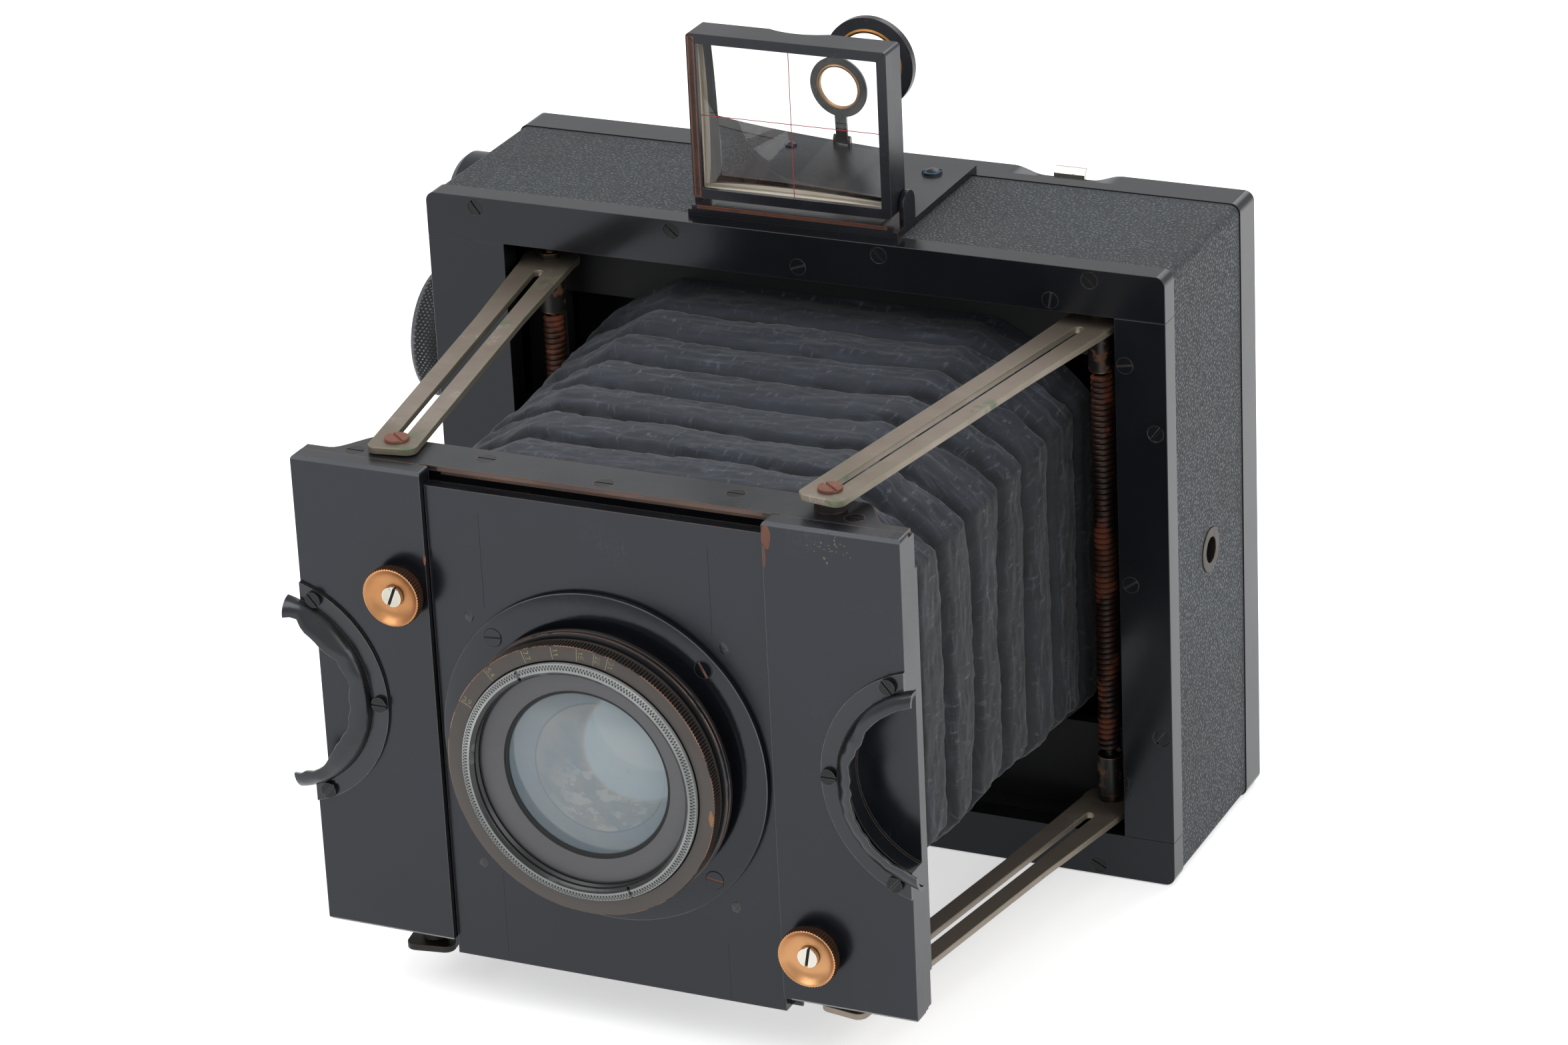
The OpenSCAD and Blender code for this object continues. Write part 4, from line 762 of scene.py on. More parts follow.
class Finishes:
    """Every material of the camera, by name."""

    def __init__(self) -> None:
        """Builds the groups and the materials."""
        self.groups = Groups()
        self.paints()
        self.metals()
        self.lens_finishes()
        self.cloth_and_wood()
        self.finder_finishes()

    def paints(self) -> None:
        """Lacquers and black paints."""
        groups = self.groups
        self.lacquer = Finish("black_lacquer", BLACK, SOFT_BLACK, 0.2, 0.1, edge="5a5048",
                              edge_radius=0.0005, edge_amount=0.7, scratch="55575a", scratch_density=0.25,
                              dust=0.04, bump=0.012, bump_scale=260, specular=0.41,
                              tint=BLUE_TINT).build(groups)
        # Painted shade: the frame lacquer is a darker, duller copy of the black lacquer, standing for the
        # shade on the box's front frame.
        self.darker_lacquer_painted_shade = Finish("darker_lacquer_painted_shade", "0d0f12", "111316", 0.16, 0.08, edge="4c4640",
                                    edge_radius=0.0005, edge_amount=0.6, scratch="4a4c4f",
                                    scratch_density=0.25, dust=0.02, bump=0.012, bump_scale=260,
                                    specular=0.32, tint=BLUE_TINT).build(groups)
        self.inner_black = Finish("flat_black", "0e0f10", "151617", 0.75, 0.1, dust=0.05).build(groups)
        self.filler = Finish("black_filler", "1a1b1e", "2c2c2e", 0.25, 0.2, dust=0.3, bump=0.08,
                             bump_scale=900).build(groups)

    def metals(self) -> None:
        """Painted, worn, rusty and bright metals."""
        groups = self.groups
        self.black_metal = Finish("black_metal", BLACK, SOFT_BLACK, 0.24, 0.12, edge="7a563e",
                                  edge_radius=0.0006, edge_amount=0.9, edge_metallic=0.5, stain="4a2a1c",
                                  stain_scale=90, stain_cover=0.08, scratch="606060", scratch_density=0.3,
                                  dust=0.1, bump=0.02, specular=0.42, tint=BLUE_TINT).build(groups)
        self.grip_metal = Finish("grip_metal", BLACK, "1d1917", 0.2, 0.14, tint=BLUE_TINT, edge="8f8a80",
                                 edge_radius=0.0004, edge_amount=0.35, edge_metallic=0.6, stain="57392b",
                                 stain_scale=110, stain_cover=0.1, scratch="8a8a88", scratch_density=0.5,
                                 dust=0.15, bump=0.03, bump_scale=300).build(groups)
        self.finder_metal = Finish("finder_metal", "131418", "1a1b20", 0.22, 0.12, edge="6a4a3a",
                                   edge_radius=0.0005, edge_amount=0.4, edge_metallic=0.4, tint=BLUE_TINT,
                                   stain="4c2e22", stain_scale=75, stain_cover=0.03, scratch="7a7a78",
                                   scratch_density=0.4, dust=0.06, bump=0.02, specular=0.36).build(groups)
        self.worn_finder = Finish("worn_finder_metal", "42291f", "241b18", 0.4, 0.15, metallic=0.3,
                                  stain="20191a", stain_scale=170, stain_cover=0.5, edge="94583c",
                                  edge_radius=0.0007, edge_metallic=0.6, dust=0.1, bump=0.03).build(groups)
        self.nickel_silver = Finish("nickel_silver", "8c8075", "766a5e", 0.36, 0.16, metallic=0.62,
                                    stain="626b4e", stain_scale=90, stain_cover=0.3, stain_rough=0.5,
                                    scratch="d8d4c6", scratch_density=0.8, edge="627a54", edge_radius=0.0007,
                                    edge_amount=0.8, dust=0.08, bump=0.03).build(groups)
        # Painted shade: a much darker copy of the nickel silver, used for the lower strut on the left, which
        # lies in shade.
        self.nickel_painted_shade = Finish("strut_nickel_painted_shade", "2e2a25", "221f1b", 0.45, 0.15, metallic=0.5,
                                  edge="5c5548", edge_amount=0.6, dust=0.05).build(groups)
        self.rust = Finish("rusty_steel", "5c382c", "7d4f40", 0.55, 0.15, metallic=0.35, stain="8a5a48",
                           stain_scale=300, stain_cover=0.5, dust=0.1, bump=0.05).build(groups)
        self.spring_steel = Finish("spring_steel", "241813", "4e2a1a", 0.45, 0.2, metallic=0.4,
                                   stain="7a3d20", stain_scale=90, stain_cover=0.5, dust=0.05,
                                   bump=0.05).build(groups)
        self.black_steel = Finish("black_steel", "1d1b1a", "2c2825", 0.38, 0.15, metallic=0.4,
                                  stain="7a5238", stain_scale=240, stain_cover=0.4, edge="a07a58",
                                  edge_amount=1.2, edge_metallic=0.8, dust=0.1).build(groups)
        self.screws = Finish("worn_screws", "16171a", "101113", 0.22, 0.1, metallic=0.2, specular=0.3,
                             stain="5b4a3e", stain_scale=500, stain_cover=0.1, edge="6c6f70",
                             edge_radius=0.0002, edge_amount=0.9, edge_metallic=0.9, dust=0.03).build(groups)
        self.knob_steel = Finish("knob_steel", "3a3c40", "4a4c50", 0.34, 0.15, metallic=0.5, edge="8c9092",
                                 edge_radius=0.0004, edge_amount=1.0, edge_metallic=0.9, dust=0.1,
                                 groove="0c0c0d").build(groups)
        self.blued = Finish("blued_screws", "2b4658", "1c3140", 0.25, 0.1, metallic=0.9, stain="6b4030",
                            stain_scale=600, stain_cover=0.3, dust=0.05).build(groups)
        self.nickel = Finish("dull_nickel", "c9c5ba", "aaa69a", 0.3, 0.15, metallic=1.0, stain="6a6458",
                             stain_scale=400, stain_cover=0.22, edge="efece2", edge_radius=0.0003,
                             edge_metallic=1.0, dust=0.05).build(groups)
        self.copper = Finish("bare_copper", "b98a60", "9c6a42", 0.36, 0.12, metallic=1.0, stain="6a4a34",
                             stain_scale=330, stain_cover=0.16, scratch="e8c098", scratch_density=0.7,
                             edge="dda878", edge_radius=0.0003, edge_metallic=1.0, dust=0.05).build(groups)
        self.dark_copper = Finish("dark_copper", "4a3426", "6b4832", 0.4, 0.15, metallic=0.8, edge="b5713a",
                                  edge_radius=0.0004, edge_metallic=1.0, dust=0.1,
                                  groove="0e0a08").build(groups)
        self.brass = Finish("old_brass", "4c3f2a", "362c20", 0.35, 0.15, metallic=1.0, stain="3e3020",
                            stain_scale=300, stain_cover=0.4, dust=0.05).build(groups)
        self.dark_brass = Finish("dark_brass", "2a2520", "201c18", 0.35, 0.15, metallic=0.5, edge="9a7c48",
                                 edge_radius=0.0003, edge_metallic=1.0, dust=0.05).build(groups)

    def lens_finishes(self) -> None:
        """Finishes of the lens and its front glass."""
        groups = self.groups
        self.lens_black = Finish("lens_black", "111113", "18181a", 0.24, 0.1, stain="30241c",
                                 stain_scale=120, stain_cover=0.08, dust=0.08, bump=0.015).build(groups)
        self.flange = Finish("flange_black", "0d0e11", "111217", 0.12, 0.07, dust=0.06, bump=0.05,
                             bump_scale=190, specular=0.4, tint=BLUE_TINT, scratch="505356",
                             scratch_density=0.3, edge="44464a", edge_radius=0.0003).build(groups)
        # The flange's paler rim is partly wear and partly a painted highlight along its rounded edge.
        self.rim = Finish("flange_rim_wear_and_highlight", "54575b", "2a2c30", 0.3, 0.1, metallic=0.3, dust=0.05).build(groups)
        self.bronze = Finish("bronze_ring", "3a3532", "47423f", 0.36, 0.12, metallic=0.4, stain="64503e",
                             stain_scale=95, stain_cover=0.08, stain_rough=0.5, dust=0.12,
                             bump=0.012).build(groups)
        self.worn_bronze = Finish("worn_bronze", "94714a", "7a5a3c", 0.42, 0.12, metallic=0.5,
                                  dust=0).build(groups)
        self.copper_edge = Finish("copper_edge", "94705c", "54382c", 0.4, 0.1, metallic=0.6, stain="221a16",
                                  stain_scale=150, stain_cover=0.45, dust=0).build(groups)
        self.rib_black = Finish("rib_black", "1f1c1a", "2a2522", 0.3, 0.1, metallic=0.3, edge="7a6a5c",
                                edge_radius=0.00025, edge_amount=1.6, edge_metallic=0.5, dust=0.05,
                                groove="050505").build(groups)
        self.knurl_grey = Finish("knurled_grey", "9c9f9e", "7c7f7e", 0.45, 0.15, metallic=0.3,
                                 stain="2a2c2d", stain_scale=160, stain_cover=0.18, dust=0.1,
                                 groove="151617").build(groups)
        self.chipped_grey = Finish("chipped_grey", "5d6162", "404445", 0.4, 0.15, metallic=0.5,
                                   stain="141516", stain_scale=110, stain_cover=0.75, stain_rough=0.3,
                                   dust=0.05, bump=0.04).build(groups)
        self.front_grey = Finish("front_ring_grey", "48484b", "525255", 0.4, 0.1, metallic=0.2, dust=0.12,
                                 bump=0.01).build(groups)
        self.blades = Finish("blade_steel", "3a3c40", "2c2d30", 0.4, 0.1, metallic=0.7, dust=0).build(groups)
        self.front_glass = HazedGlass().build(groups)

    def cloth_and_wood(self) -> None:
        """Leather, cloth, woods and specks."""
        groups = self.groups
        self.leather = Leather().build(groups)
        self.bellows = BellowsCloth().build(groups)
        self.curtain = Finish("shutter_cloth", "131313", "1c1c1c", 0.8, 0.1, dust=0.05).build(groups)
        self.roller_wood = Finish("roller_wood", "7a5a3a", "644628", 0.6, 0.1).build(groups)
        self.raw_wood = Finish("bare_wood", "5e4a40", "46393a", 0.5, 0.15, stain="5a3424", stain_scale=60,
                               stain_cover=0.25, bump=0.06).build(groups)
        # Bare wood in the groove, partly its own colour and partly painted light: it is made paler so that it
        # shows in the groove's shade.
        self.wood_painted_light = Finish("bare_wood_in_groove_painted_light", "a38672", "80695c", 0.6, 0.15, dust=0, stain="6e4a38",
                                stain_scale=60, stain_cover=0.25, bump=0.06).build(groups)
        self.chip_wood = Finish("split_wood", "84503c", "5c3a2c", 0.65, 0.15, stain="2a1a12",
                                stain_scale=500, stain_cover=0.25, bump=0.1).build(groups)
        self.dust_specks = Finish("dust_specks", "7d7258", "5c5646", 0.8, 0.1, dust=0).build(groups)

    def finder_finishes(self) -> None:
        """Finishes of the finder, the other glasses and the figures."""
        groups = self.groups
        self.brass_ring = Finish("brass_ring", "b08048", "8a5f34", 0.32, 0.12, metallic=1.0, stain="4a3020",
                                 stain_scale=260, stain_cover=0.25, dust=0.02).build(groups)
        self.lens_glass = Glass("lens_glass", srgb("d9e6ea"), 0.03, 0.05).build(groups)
        self.finder_glass = Glass("finder_glass", srgb("f4f7f6"), 0.0, 0.0, ior=2.2, haze=0.05,
                                  shine=0.3).build(groups)
        self.ground = Glass("ground_glass", srgb("dfe4e2"), 0.5, 0.1).build(groups)
        self.cream = Finish("cream_edge", "cbbfae", "b3a48f", 0.6, 0.1, dust=0).build(groups)
        self.red_line = Finish("red_line", "9c2430", "8c1f2a", 0.5, 0.1, dust=0).build(groups)
        self.figures = Finish("engraved_figures", "a09a72", "7c7858", 0.5, 0.1, metallic=0.2,
                              dust=0).build(groups)


# Mesh helpers

def object_from(name: str, points: np.ndarray, faces: Sequence[Sequence[int]],
                material: Union[bpy.types.Material, Sequence[bpy.types.Material]], smooth_angle: float = 40.0,
                marks: Optional[np.ndarray] = None, ribs: Optional[np.ndarray] = None) -> bpy.types.Object:
    """Makes an object from points in metres and faces.

    Args:
        name: Name of the piece.
        points: Array of n by 3.
        faces: Lists of point numbers.
        material: Its material, or several.
        smooth_angle: Edges sharper than this, in degrees, stay sharp.
        marks: Number of each face's material, where there are several.
        ribs: How deep in a groove each point lies, from 0 to 1.

    Returns:
        The new object, in the scene's collection.
    """
    mesh = bpy.data.meshes.new(name)
    mesh.from_pydata(points.tolist(), [], [list(f) for f in faces])
    for item in [material] if isinstance(material, bpy.types.Material) else material:
        mesh.materials.append(item)
    if marks is not None:
        mesh.polygons.foreach_set("material_index", np.asarray(marks, np.int32))
    if ribs is not None:
        mesh.attributes.new("rib", "FLOAT", "POINT").data.foreach_set("value", ribs.astype(np.float32))
    mesh.update()
    finish_mesh(mesh, smooth_angle)
    item = bpy.data.objects.new(name, mesh)
    bpy.context.scene.collection.objects.link(item)
    return item


def finish_mesh(mesh: bpy.types.Mesh, smooth_angle: float) -> None:
    """Turns the faces outwards and smooths all but the sharp edges.

    Args:
        mesh: The mesh.
        smooth_angle: Edges sharper than this, in degrees, stay sharp.
    """
    work = bmesh.new()
    work.from_mesh(mesh)
    bmesh.ops.remove_doubles(work, verts=work.verts, dist=1e-7)
    bmesh.ops.recalc_face_normals(work, faces=work.faces)
    work.to_mesh(mesh)
    work.free()
    mesh.polygons.foreach_set("use_smooth", np.ones(len(mesh.polygons), bool))
    mesh.set_sharp_from_angle(angle=math.radians(smooth_angle))


def grid_faces(rows: int, columns: int, close_rows: bool, close_columns: bool) -> np.ndarray:
    """Four-cornered faces of a grid of points, as an array of point numbers.

    Args:
        rows: Number of rows of points.
        columns: Number of points in a row.
        close_rows: Whether the last row joins the first.
        close_columns: Whether the last point of a row joins the first.

    Returns:
        Array of faces by four.
    """
    r = np.arange(rows if close_rows else rows - 1)
    c = np.arange(columns if close_columns else columns - 1)
    r, c = np.meshgrid(r, c, indexing="ij")
    r2, c2 = (r + 1) % rows, (c + 1) % columns
    quads = np.stack([r * columns + c, r * columns + c2, r2 * columns + c2, r2 * columns + c], axis=-1)
    return quads.reshape(-1, 4)


@dataclass(frozen=True)
class Ribs:
    """Fine ribs on a turned piece: number, depth in millimetres, slant in turns a millimetre, and whether
    a second row crosses them."""

    count: int
    depth: float
    slant: float = 0.0
    crossed: bool = False


@dataclass(frozen=True)
class Notch:
    """Slot across a turned face: its angle in degrees, half its width and the height of its floor."""

    angle: float
    half: float
    floor: float


def turned(name: str, outline: Sequence[Sequence[float]], centre: Sequence[float],
           materials: Sequence[bpy.types.Material], steps: int = 144, ribs: Optional[Ribs] = None,
           notches: Sequence[Notch] = (), axis: str = "Y", smooth_angle: float = 32.0) -> bpy.types.Object:
    """Turns a closed outline about a line along Y or X.

    A corner (r, h) goes to centre + (r cos a, -h, r sin a) for each angle a round the circle. Where
    a corner takes ribs, the ribs' depth times its share times w comes off its radius, and off its
    height likewise. Here w is twice the distance of count a / 2 pi + slant (r + h) count from the
    nearest whole number, or, for crossed ribs, the larger of that and its mirror image.

    Args:
        name: Name of the piece.
        outline: Corners as radius, height ahead, number of the material of the strip that starts
            there, share of the ribs' depth on the radius and share on the height. The last three
            may be left out.
        centre: The centre in millimetres.
        materials: Its materials.
        steps: Steps round the circle, without ribs.
        ribs: The ribs.
        notches: Slots across the front.
        axis: Y for a piece that looks to the front, X for one that looks to the left.
        smooth_angle: Edges sharper than this, in degrees, stay sharp.

    Returns:
        The turned piece.
    """
    corners = np.array([(*corner, 0, 0, 0)[:5] for corner in outline], float)
    r, h = corners[:, None, 0], corners[:, None, 1]
    wave: Union[float, np.ndarray] = 0.0
    depth = 0.0
    if ribs is not None:
        steps, depth = ribs.count * 4, ribs.depth
        turn = np.arange(steps)[None] / steps * ribs.count
        lean = (r + h) * ribs.slant * ribs.count
        wave = np.abs((turn + lean) % 1 - 0.5) * 2
        if ribs.crossed:
            wave = np.maximum(wave, np.abs((turn - lean) % 1 - 0.5) * 2)
    angle = np.arange(steps)[None] / steps * 2 * np.pi
    radius = r - depth * corners[:, None, 3] * wave + 0 * angle
    height = h - depth * corners[:, None, 4] * wave + 0 * angle
    for notch in notches:
        off = np.abs((angle - math.radians(notch.angle) + np.pi) % (2 * np.pi) - np.pi) * radius
        height = np.where(off < notch.half, np.minimum(height, notch.floor), height)
    if axis == "Y":
        points = np.stack([radius * np.cos(angle), -height, radius * np.sin(angle)], axis=-1)
    else:
        points = np.stack([-height, radius * np.cos(angle), radius * np.sin(angle)], axis=-1)
    points = (points + np.array(centre, float)) * MM
    marks = np.repeat(corners[:, 2].astype(int), steps)
    faces = grid_faces(len(corners), steps, True, True)
    share = np.maximum(corners[:, None, 3], corners[:, None, 4])
    deep = (share * wave + 0 * angle).reshape(-1) if ribs is not None else None
    return object_from(name, points.reshape(-1, 3), faces, materials, smooth_angle, marks, deep)


def boxes(name: str, bars: Sequence[Sequence[float]], front: float, depth: float,
          material: bpy.types.Material) -> bpy.types.Object:
    """Makes thin bars that face the front.

    Args:
        name: Name of the piece.
        bars: Ends and width of each bar as x, z, x, z, width, in millimetres.
        front: Place of their front faces along Y, in millimetres.
        depth: How deep they are.
        material: Their material.

    Returns:
        The bars as one piece.
    """
    points, faces = [], []
    for x0, z0, x1, z1, width in bars:
        ahead = np.array([x1 - x0, z1 - z0], float)
        ahead /= max(1e-6, float(np.hypot(*ahead)))
        side = np.array([-ahead[1], ahead[0]]) * width / 2
        a, b = np.array([x0, z0]) - ahead * width / 2, np.array([x1, z1]) + ahead * width / 2
        start = len(points)
        for y in (front, front + depth):
            points.extend([(q[0], y, q[1]) for q in (a - side, b - side, b + side, a + side)])
        faces.extend([[start + i for i in face] for face in ((0, 1, 2, 3), (7, 6, 5, 4), (0, 4, 5, 1),
                                                             (1, 5, 6, 2), (2, 6, 7, 3), (3, 7, 4, 0))])
    return object_from(name, np.array(points) * MM, faces, material, 30)


def blots(name: str, spots: Sequence[Sequence[float]], front: float,
          material: bpy.types.Material) -> bpy.types.Object:
    """Makes ragged, slightly domed spots on a face that looks to the front.

    Args:
        name: Name of the piece.
        spots: Middle, half width, half height and rise of each spot as x, z, w, h, rise, in millimetres.
        front: Place of the face along Y, in millimetres.
        material: Their material.

    Returns:
        The spots as one piece.
    """
    random = np.random.default_rng(SEED + len(name))
    steps, points, faces = 26, [], []
    angle = np.arange(steps) / steps * 2 * np.pi
    for x, z, w, h, rise in spots:
        rough = np.tile(random.standard_normal(steps), 3)
        ragged = 1 + 0.16 * np.convolve(rough, [0.3, 0.4, 0.3], "same")[steps:-steps]
        start = len(points)
        for share, level in ((1.0, -0.05), (0.97, 0.2), (0.62, 0.8), (0.3, 1.0)):
            bumps = 1 + 0.45 * random.standard_normal(steps) * (share < 0.9)
            points.extend(np.column_stack([x + w * share * ragged * np.cos(angle),
                                           front - rise * level * bumps,
                                           z + h * share * ragged * np.sin(angle)]).tolist())
        faces.extend((grid_faces(4, steps, False, True) + start).tolist())
        faces.extend([list(range(start, start + steps)), list(range(start + 3 * steps, start + 4 * steps))])
    return object_from(name, np.array(points) * MM, faces, material, 50)


def merged_copy(node: str, material: bpy.types.Material, width: float = 0.35,
                segments: int = 2) -> bpy.types.Object:
    """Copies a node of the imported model, joins its loose triangles and rounds its edges a little.

    Its normals then follow the larger faces, so that flat faces look flat up to their rounded edges.

    Args:
        node: Name of the node.
        material: Material of the copy.
        width: Width of the rounding in millimetres.
        segments: Number of flats in the rounding.

    Returns:
        The copy, which rides on the node's body in the node's place.
    """
    mesh = frame["nodes"][node].data.copy()
    work = bmesh.new()
    work.from_mesh(mesh)
    bmesh.ops.remove_doubles(work, verts=work.verts, dist=2e-6)
    bmesh.ops.dissolve_limit(work, angle_limit=math.radians(0.6), verts=work.verts, edges=work.edges)
    sharp = [e for e in work.edges if len(e.link_faces) == 2 and e.calc_face_angle(0.0) > math.radians(38)]
    bmesh.ops.bevel(work, geom=sharp, offset=width * MM, segments=segments, profile=0.6, affect="EDGES",
                    clamp_overlap=True, harden_normals=False)
    work.to_mesh(mesh)
    work.free()
    for layer in list(mesh.attributes):
        if layer.name == "custom_normal":
            mesh.attributes.remove(layer)
    mesh.polygons.foreach_set("use_smooth", np.ones(len(mesh.polygons), bool))
    mesh.set_sharp_from_angle(angle=math.radians(22))
    mesh.materials.clear()
    mesh.materials.append(material)
    item = bpy.data.objects.new(f"{node}_finished", mesh)
    bpy.context.scene.collection.objects.link(item)
    weighted = item.modifiers.new("flat_faces_stay_flat", "WEIGHTED_NORMAL")
    weighted.keep_sharp = True
    weighted.weight = 90
    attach(item, body_of_node(node))
    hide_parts(node)
    LOG.info("made %s on %s", item.name, body_of_node(node))
    return item


def body_of_node(node: str) -> str:
    """Name of the body that carries a node."""
    return next(b for b, nodes in frame["record"]["behaviour"]["bodies"].items() if node in nodes)


def dress(node: str, material: bpy.types.Material) -> None:
    """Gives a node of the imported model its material.

    Args:
        node: Name of the node.
        material: Its material.
    """
    mesh = frame["nodes"][node].data
    mesh.materials.clear()
    mesh.materials.append(material)
    LOG.info("dressed %s with %s", node, material.name)


def settle(item: bpy.types.Object, body: Body, slot: str, *nodes: str) -> bpy.types.Object:
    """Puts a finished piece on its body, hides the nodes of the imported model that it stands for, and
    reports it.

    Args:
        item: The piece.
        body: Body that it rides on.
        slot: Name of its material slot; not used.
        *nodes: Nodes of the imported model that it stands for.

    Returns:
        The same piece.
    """
    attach(item, body.value)
    if nodes:
        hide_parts(*nodes)
    LOG.info("made %s on %s", item.name, body.value)
    return item


def smooth(x: np.ndarray) -> np.ndarray:
    """Eases a share from 0 to 1 at both ends: three times its square less twice its cube."""
    return x * x * (3 - 2 * x)


def wavy_field(random: np.random.Generator, t: np.ndarray, s: np.ndarray, rows: int,
               columns: int) -> np.ndarray:
    """Smooth random field from 0 to 1 that joins up round the second coordinate.

    Random values on a grid are blended from corner to corner with eased shares.

    Args:
        random: Source of the values.
        t: First coordinate, from 0 to 1.
        s: Second coordinate, from 0 to 1, which closes on itself.
        rows: Cells along the first coordinate.
        columns: Cells along the second coordinate.

    Returns:
        The field at every point.
    """
    grid = random.random((rows + 2, columns))
    a, b = t * rows, s * columns
    i, j = np.floor(a).astype(int), np.floor(b).astype(int) % columns
    u, v = smooth(a - np.floor(a)), smooth(b - np.floor(b))
    k = (j + 1) % columns
    near = grid[i, j] * (1 - u) + grid[i + 1, j] * u
    far = grid[i, k] * (1 - u) + grid[i + 1, k] * u
    return near * (1 - v) + far * v


@dataclass(frozen=True)
class Screw:
    """Slotted screw head: the middle of its underside, the way it looks, and its sizes in millimetres."""

    place: tuple[float, float, float]
    looks: tuple[float, float, float]
    radius: float
    height: float
    slot: float
    turn: float
    crown: float = 0.0
    gap: float = 0.18


def screw_heads(name: str, screws: Sequence[Screw], material: bpy.types.Material,
                floor: bpy.types.Material, shadow: bpy.types.Material) -> bpy.types.Object:
    """Makes slotted screw heads as one piece, with the slots' floors in a material of their own.

    Each head is two halves of a disc with eased rims, which stand on a thinner disc that is the
    slot's floor. A crown lifts the middle by a share of the distance from the rim, squared. A thin,
    slightly wider disc under each head is painted shade: a dark ring for the shaded gap round it.

    Args:
        name: Name of the piece.
        screws: The heads.
        material: Material of the heads.
        floor: Material of the slots.
        shadow: Material of the gaps round the heads.

    Returns:
        The heads.
    """
    points, faces, marks = [], [], []

    def prism(ring: np.ndarray, high: float, ease: float, crown: float, radius: float, mark: int,
              frame_of: np.ndarray) -> None:
        """Adds a prism on a ring of points, with an eased upper rim and a crown.

        Args:
            ring: Corners of the prism across the screw's axis.
            high: Height of the prism.
            ease: Size of the eased rim.
            crown: Rise of the middle.
            radius: Radius that the ease and the crown are shares of.
            mark: Number of the prism's material.
            frame_of: The screw's three directions and its place.
        """
        start, n = len(points), len(ring)
        middle = ring.mean(axis=0)
        inner = middle + (ring - middle) * (1 - ease / radius)
        for flat, h in ((ring, 0.0), (ring, high - ease), (inner, high)):
            lift = crown * (1 - (np.hypot(flat[:, 0], flat[:, 1]) / radius) ** 2) if h == high else 0.0
            points.extend((np.column_stack([flat, np.full(n, h) + lift])
                           @ frame_of[:3] + frame_of[3]).tolist())
        faces.extend((grid_faces(3, n, False, True) + start).tolist())
        faces.extend([list(range(start + 2 * n, start + 3 * n)), list(range(start + n - 1, start - 1, -1))])
        marks.extend([mark] * (2 * n + 2))

    for screw in screws:
        up = Vector(screw.looks).normalized()
        side = Vector((0, 0, 1)).cross(up).normalized() if abs(up.z) < 0.9 else Vector((1, 0, 0))
        side.rotate(Matrix.Rotation(math.radians(screw.turn), 3, up))
        frame_of = np.array([side, up.cross(side), up, screw.place], float)
        gap = math.asin(min(0.9, screw.slot / 2 / screw.radius))
        for half in (0, np.pi):
            arc = np.linspace(gap, np.pi - gap, 20) + half
            ring = np.column_stack([np.cos(arc), np.sin(arc)]) * screw.radius
            prism(ring, screw.height, min(0.2, screw.height / 3), screw.crown, screw.radius, 0, frame_of)
        arc = np.linspace(0, 2 * np.pi, 32, endpoint=False)
        ring = np.column_stack([np.cos(arc), np.sin(arc)])
        prism(ring * (screw.radius - 0.05), screw.height * 0.4, 0.02, 0, screw.radius, 1, frame_of)
        # Painted shade: a dark disc just wider than the head stands for the shaded gap round it.
        if screw.gap > 0:
            prism(ring * (screw.radius + screw.gap), 0.03, 0.01, 0, screw.radius, 2, frame_of)
    return object_from(name, np.array(points) * MM, faces, [material, floor, shadow], 30, np.array(marks))


# Sub-assemblies

@dataclass
class BodyBox:
    """Wooden box with its frames, leather, screws and back."""

    finishes: Finishes
    painted: tuple[tuple[float, float, float], ...] = ((3.2, 147.6, 20), (66.8, 146.9, 80), (84.9, 132.9, 10),
                                                       (85.3, 77.6, 35))

    def build(self) -> None:
        """Makes every piece of the box. The painted screws are given as x, z and the turn of the slot."""
        f = self.finishes
        # The frames wear the darker copy of the lacquer, which paints in the shade that falls on the front
        # frame.
        for node in ("front_frame_rails", "front_frame_stiles", "rear_frame"):
            merged_copy(node, f.darker_lacquer_painted_shade, 0.5, 3)
        merged_copy("ground_glass_frame", f.darker_lacquer_painted_shade, 0.3)
        merged_copy("leather_covering", f.leather, 0.3)
        merged_copy("body_screws", f.screws, 0.12)
        merged_copy("back_catch", f.nickel, 0.2)
        merged_copy("tripod_bushes", f.dark_brass, 0.25)
        dress("body_box", f.inner_black)
        dress("ground_glass", f.ground)
        for node in ("shutter_partition", "plate_mask"):
            dress(node, f.inner_black)
        dress("shutter_curtain", f.curtain)
        sunk = [Screw((x, FRONT_Y - 0.01, z), (0, -1, 0), 2.1, 0.07, 0.35, turn, 0.0, 0.0)
                for x, z, turn in self.painted]
        settle(screw_heads("painted_screws", sunk, f.darker_lacquer_painted_shade, f.darker_lacquer_painted_shade, f.darker_lacquer_painted_shade),
               Body.CAMERA, "lacquered_wood")


@dataclass
class Shutter:
    """Winding knob, dial, gears and rollers of the roller-blind shutter."""

    finishes: Finishes
    knob_at: tuple[float, float, float] = (-95.3, 6.0, 105.0)
    knob_r: float = 17.0
    knob_h: float = 17.4

    def build(self) -> None:
        """Makes every piece of the shutter."""
        f, r, h = self.finishes, self.knob_r, self.knob_h
        outline = [(0, 0), (r - 1.2, 0), (r - 1.0, 0.8), (r - 0.5, 1.1)]
        outline += [(r, 1.5 + 0.3 * k, 0, 1) for k in range(48)]
        outline += [(r - 0.4, h - 1.2), (r - 0.8, h - 0.5), (r - 1.5, h), (r - 4.2, h), (r - 4.5, h - 0.3),
                    (r - 4.5, h - 0.8), (0, h - 0.8)]
        knob = turned("knurled_knob", outline, self.knob_at, [f.knob_steel],
                      ribs=Ribs(64, 0.7, 0.0135, True), axis="X", smooth_angle=20)
        settle(knob, Body.WINDING, "black_steel", "winding_knob")
        merged_copy("slit_dial", f.black_metal, 0.3)
        for node in ("gear_plate", "winding_gear", "idler_gear"):
            dress(node, f.brass)
        for node in ("upper_roller", "lower_roller"):
            dress(node, f.roller_wood)


